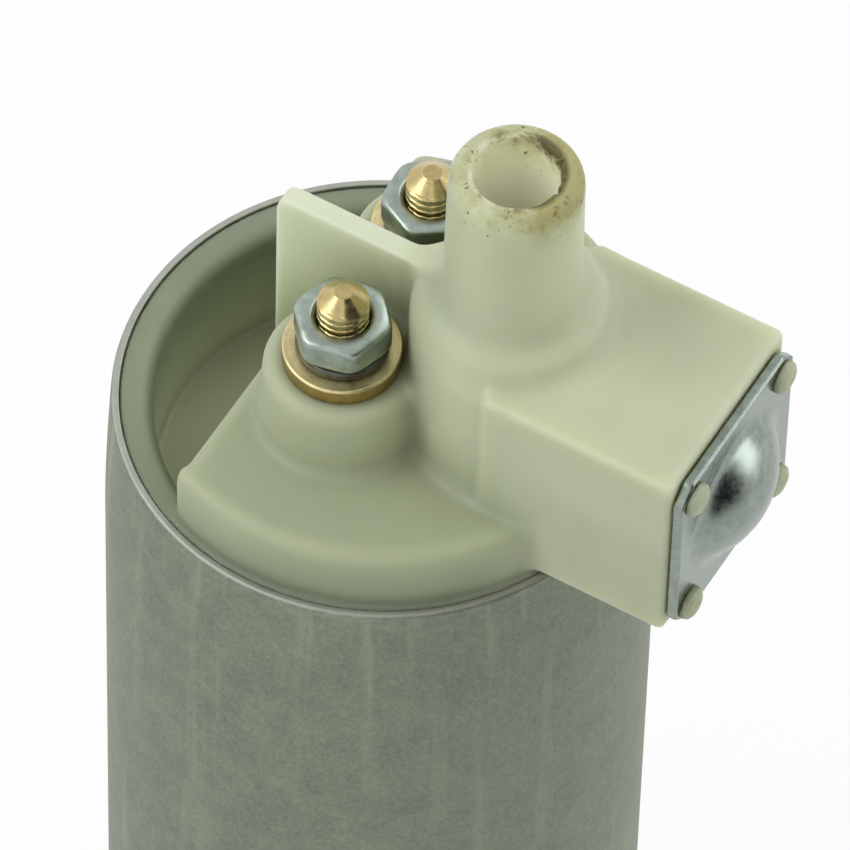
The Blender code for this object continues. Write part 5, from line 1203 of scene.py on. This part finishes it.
class FUELPUMP_OT_springs(bpy.types.Operator):
    """Wind the springs of the valves and brushes"""
    bl_idname = "fuel_pump.springs"
    bl_label = "Springs"

    def execute(self, context):
        # Drawn spring wire: bright, with faint cloudiness along it
        look = grained("spring_wire", linear("B4B6B8"), linear("8A8C8F"), 0.8, 1.0, (0.2, 0.32))
        tree = spring_tree(look)
        for node, joint, axis, turn, turns, wire, travel in SPRINGS:
            low, high = corners(node)
            out = -1 if node.endswith("negative") else 1
            start, end = (low[axis], high[axis]) if out > 0 else (high[axis], low[axis])
            length = abs(end - start) - 2 * wire
            across = (axis + 1) % 3
            wide = (high[across] - low[across]) / 2 - wire
            narrow = BALL_END_RADIUS if node == "check_valve_spring" else wide
            place = (low + high) / 2
            place[axis] = start + out * wire
            values = {"Turns": turns, "Start radius": narrow * MM, "End radius": wide * MM,
                      "Length": length * MM, "Wire radius": wire * MM, "Place": tuple(place * MM),
                      "Turn": turn}
            spring = run_tree(f"wound_{node}", tree, values)
            spring.data.shade_smooth()
            fit(spring, look, "housing", "spring_steel", node)
            anchor = place.copy()
            anchor[axis] = end
            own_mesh(spring)
        return {"FINISHED"}


class FUELPUMP_OT_inner_finishes(bpy.types.Operator):
    """Give the motor, pump and valve pieces inside their finishes"""
    bl_idname = "fuel_pump.inner_finishes"
    bl_label = "Inner finishes"

    def execute(self, context):
        for title, light, dark, grain, metallic, roughness, bump_height, names in INNER_FINISHES:
            look = grained(title, linear(light), linear(dark), grain, metallic, roughness, bump_height)
            for name in names:
                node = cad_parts[name]
                node.data.materials.clear()
                node.data.materials.append(look)
        return {"FINISHED"}


def background_share(tree):
    """1 for the rays that are to see the white background, and 0 for those that light the object."""
    path = add(tree, "ShaderNodeLightPath").outputs
    seen = add(tree, "ShaderNodeMath", {
        0: path["Is Camera Ray"], 1: path["Is Glossy Ray"]}, operation="MAXIMUM")
    return add(tree, "ShaderNodeMath", {0: seen, 1: path["Is Transmission Ray"]}, operation="MAXIMUM")


def add_lamp(name, place, aim, size, power):
    """A square soft lamp at place that points at aim, all in metres and watts."""
    lamp = bpy.data.lights.new(name, "AREA")
    lamp.shape = "RECTANGLE"
    lamp.size, lamp.size_y = size
    lamp.energy = power
    made = bpy.data.objects.new(name, lamp)
    made.location = place
    made.rotation_euler = (Vector(aim) - Vector(place)).to_track_quat("-Z", "Y").to_euler()
    bpy.context.scene.collection.objects.link(made)
    return made


def add_card(name, corner_points, level):
    """A card of even brightness that only reflections see, from corners in millimetres."""
    card = new_piece(name, corner_points, [(0, 1, 2, 3)])
    card.visible_camera = card.visible_diffuse = card.visible_shadow = card.visible_transmission = False
    made, tree = new_material(name)
    glow = add(tree, "ShaderNodeEmission", {"Color": (1, 1, 1, 1), "Strength": level})
    add(tree, "ShaderNodeOutputMaterial", {"Surface": glow})
    card.data.materials.append(made)


class FUELPUMP_OT_stage(bpy.types.Operator):
    """Set up the floor, the world, the lamps and the camera"""
    bl_idname = "fuel_pump.stage"
    bl_label = "Stage"

    def execute(self, context):
        scene = context.scene
        settings = scene.fuel_pump_stage

        # Camera
        a, e, r = settings.azimuth, settings.elevation, settings.roll
        forward = Vector((-math.sin(a) * math.cos(e), math.cos(a) * math.cos(e), -math.sin(e)))
        level = Vector((math.cos(a), math.sin(a), 0))
        upright = level.cross(forward)
        right = level * math.cos(r) + upright * math.sin(r)
        up = upright * math.cos(r) - level * math.sin(r)
        aim = Vector(AIM) * MM
        camera = bpy.data.objects.new("camera", bpy.data.cameras.new("camera"))
        camera.data.lens = settings.lens
        camera.data.sensor_width = 36
        camera.data.clip_start = 0.01
        turn = Matrix((right, up, -forward)).transposed().to_4x4()
        camera.matrix_world = Matrix.Translation(aim - forward * settings.distance) @ turn
        scene.collection.objects.link(camera)
        scene.camera = camera

        # Floor
        floor = new_piece("floor", [(x * FLOOR_HALF, y * FLOOR_HALF, -FLOOR_GAP)
                                    for x, y in ((-1, -1), (1, -1), (1, 1), (-1, 1))], [(0, 1, 2, 3)])
        made, tree = new_material("pale_floor")
        share = add(tree, "ShaderNodeMath", {0: background_share(tree), 1: 0.94}, operation="MULTIPLY")
        shader = add(tree, "ShaderNodeBsdfPrincipled", {
            "Base Color": (0.82, 0.82, 0.82, 1), "Roughness": 0.9, "Specular IOR Level": 0.1})
        white = add(tree, "ShaderNodeEmission", {"Color": (1, 1, 1, 1), "Strength": 1.0})
        both = add(tree, "ShaderNodeMixShader", {0: share, 1: shader, 2: white})
        add(tree, "ShaderNodeOutputMaterial", {"Surface": both})
        floor.data.materials.append(made)

        # World: white to the camera and in reflections, soft light to the object
        world = bpy.data.worlds.new("studio")
        scene.world = world
        world.use_nodes = True
        tree = world.node_tree
        tree.nodes.clear()
        strength = add(tree, "ShaderNodeMapRange", {
            "Value": background_share(tree), "To Min": 0.44, "To Max": 1.0})
        sky = add(tree, "ShaderNodeBackground", {"Color": (1, 1, 1, 1), "Strength": strength})
        add(tree, "ShaderNodeOutputWorld", {"Surface": sky})

        # Cards that only reflections see: black velvet beside the camera and a grey sheet above the lamps
        turn, distance, half, height = VELVET
        turn = math.radians(turn)
        outward = Vector((math.cos(turn), math.sin(turn), 0)) * distance
        across = Vector((-math.sin(turn), math.cos(turn), 0)) * half
        tall = Vector((0, 0, height))
        add_card("black_velvet", (outward - across, outward + across, outward + across + tall,
                                  outward - across + tall), 0.03)
        half, height = SHEET
        add_card("grey_sheet", ((-half, -half, height), (-half, half, height), (half, half, height),
                                (half, -half, height)), 0.75)

        for name, (place, aim, size, power) in LAMPS.items():
            add_lamp(name, place, aim, size, power)

        scene.view_settings.view_transform = "Standard"
        return {"FINISHED"}


class FUELPUMP_PT_panel(bpy.types.Panel):
    """Lists the pump's pieces and the sizes and colours that can be changed"""
    bl_idname = "FUELPUMP_PT_panel"
    bl_label = "Fuel pump"
    bl_space_type = "VIEW_3D"
    bl_region_type = "UI"
    bl_category = "Fuel pump"

    def draw(self, context):
        for group, operators in PANEL_ROWS:
            box = self.layout.box()
            settings = getattr(context.scene, group)
            for name in settings.__annotations__:
                box.prop(settings, name)
            for operator in operators:
                box.operator(operator)


PANEL_ROWS = (
    ("fuel_pump_can", ("fuel_pump.can", "fuel_pump.inlet_cover")),
    ("fuel_pump_cap", ("fuel_pump.cap", "fuel_pump.staked_heads")),
    ("fuel_pump_terminals", ("fuel_pump.terminals", "fuel_pump.relief_plate", "fuel_pump.springs",
                             "fuel_pump.inner_finishes")),
    ("fuel_pump_stage", ("fuel_pump.stage",)),
)
GROUPS = {"fuel_pump_can": CanSettings, "fuel_pump_cap": CapSettings,
          "fuel_pump_terminals": TerminalSettings, "fuel_pump_stage": StageSettings}
OPERATORS = (FUELPUMP_OT_can, FUELPUMP_OT_cap, FUELPUMP_OT_terminals, FUELPUMP_OT_relief_plate,
             FUELPUMP_OT_staked_heads, FUELPUMP_OT_inlet_cover, FUELPUMP_OT_springs,
             FUELPUMP_OT_inner_finishes, FUELPUMP_OT_stage)


def register():
    for kind in (*GROUPS.values(), *OPERATORS, FUELPUMP_PT_panel):
        bpy.utils.register_class(kind)
    for name, group in GROUPS.items():
        setattr(bpy.types.Scene, name, bpy.props.PointerProperty(type=group))


def unregister():
    for name in GROUPS:
        delattr(bpy.types.Scene, name)
    for kind in (FUELPUMP_PT_panel, *reversed(OPERATORS), *reversed(GROUPS.values())):
        bpy.utils.unregister_class(kind)


def main():
    register()
    bpy.ops.fuel_pump.can()
    bpy.ops.fuel_pump.cap()
    bpy.ops.fuel_pump.terminals()
    bpy.ops.fuel_pump.relief_plate()
    bpy.ops.fuel_pump.staked_heads()
    bpy.ops.fuel_pump.inlet_cover()
    bpy.ops.fuel_pump.springs()
    bpy.ops.fuel_pump.inner_finishes()
    bpy.ops.fuel_pump.stage()


if __name__ == "__main__":
    main()
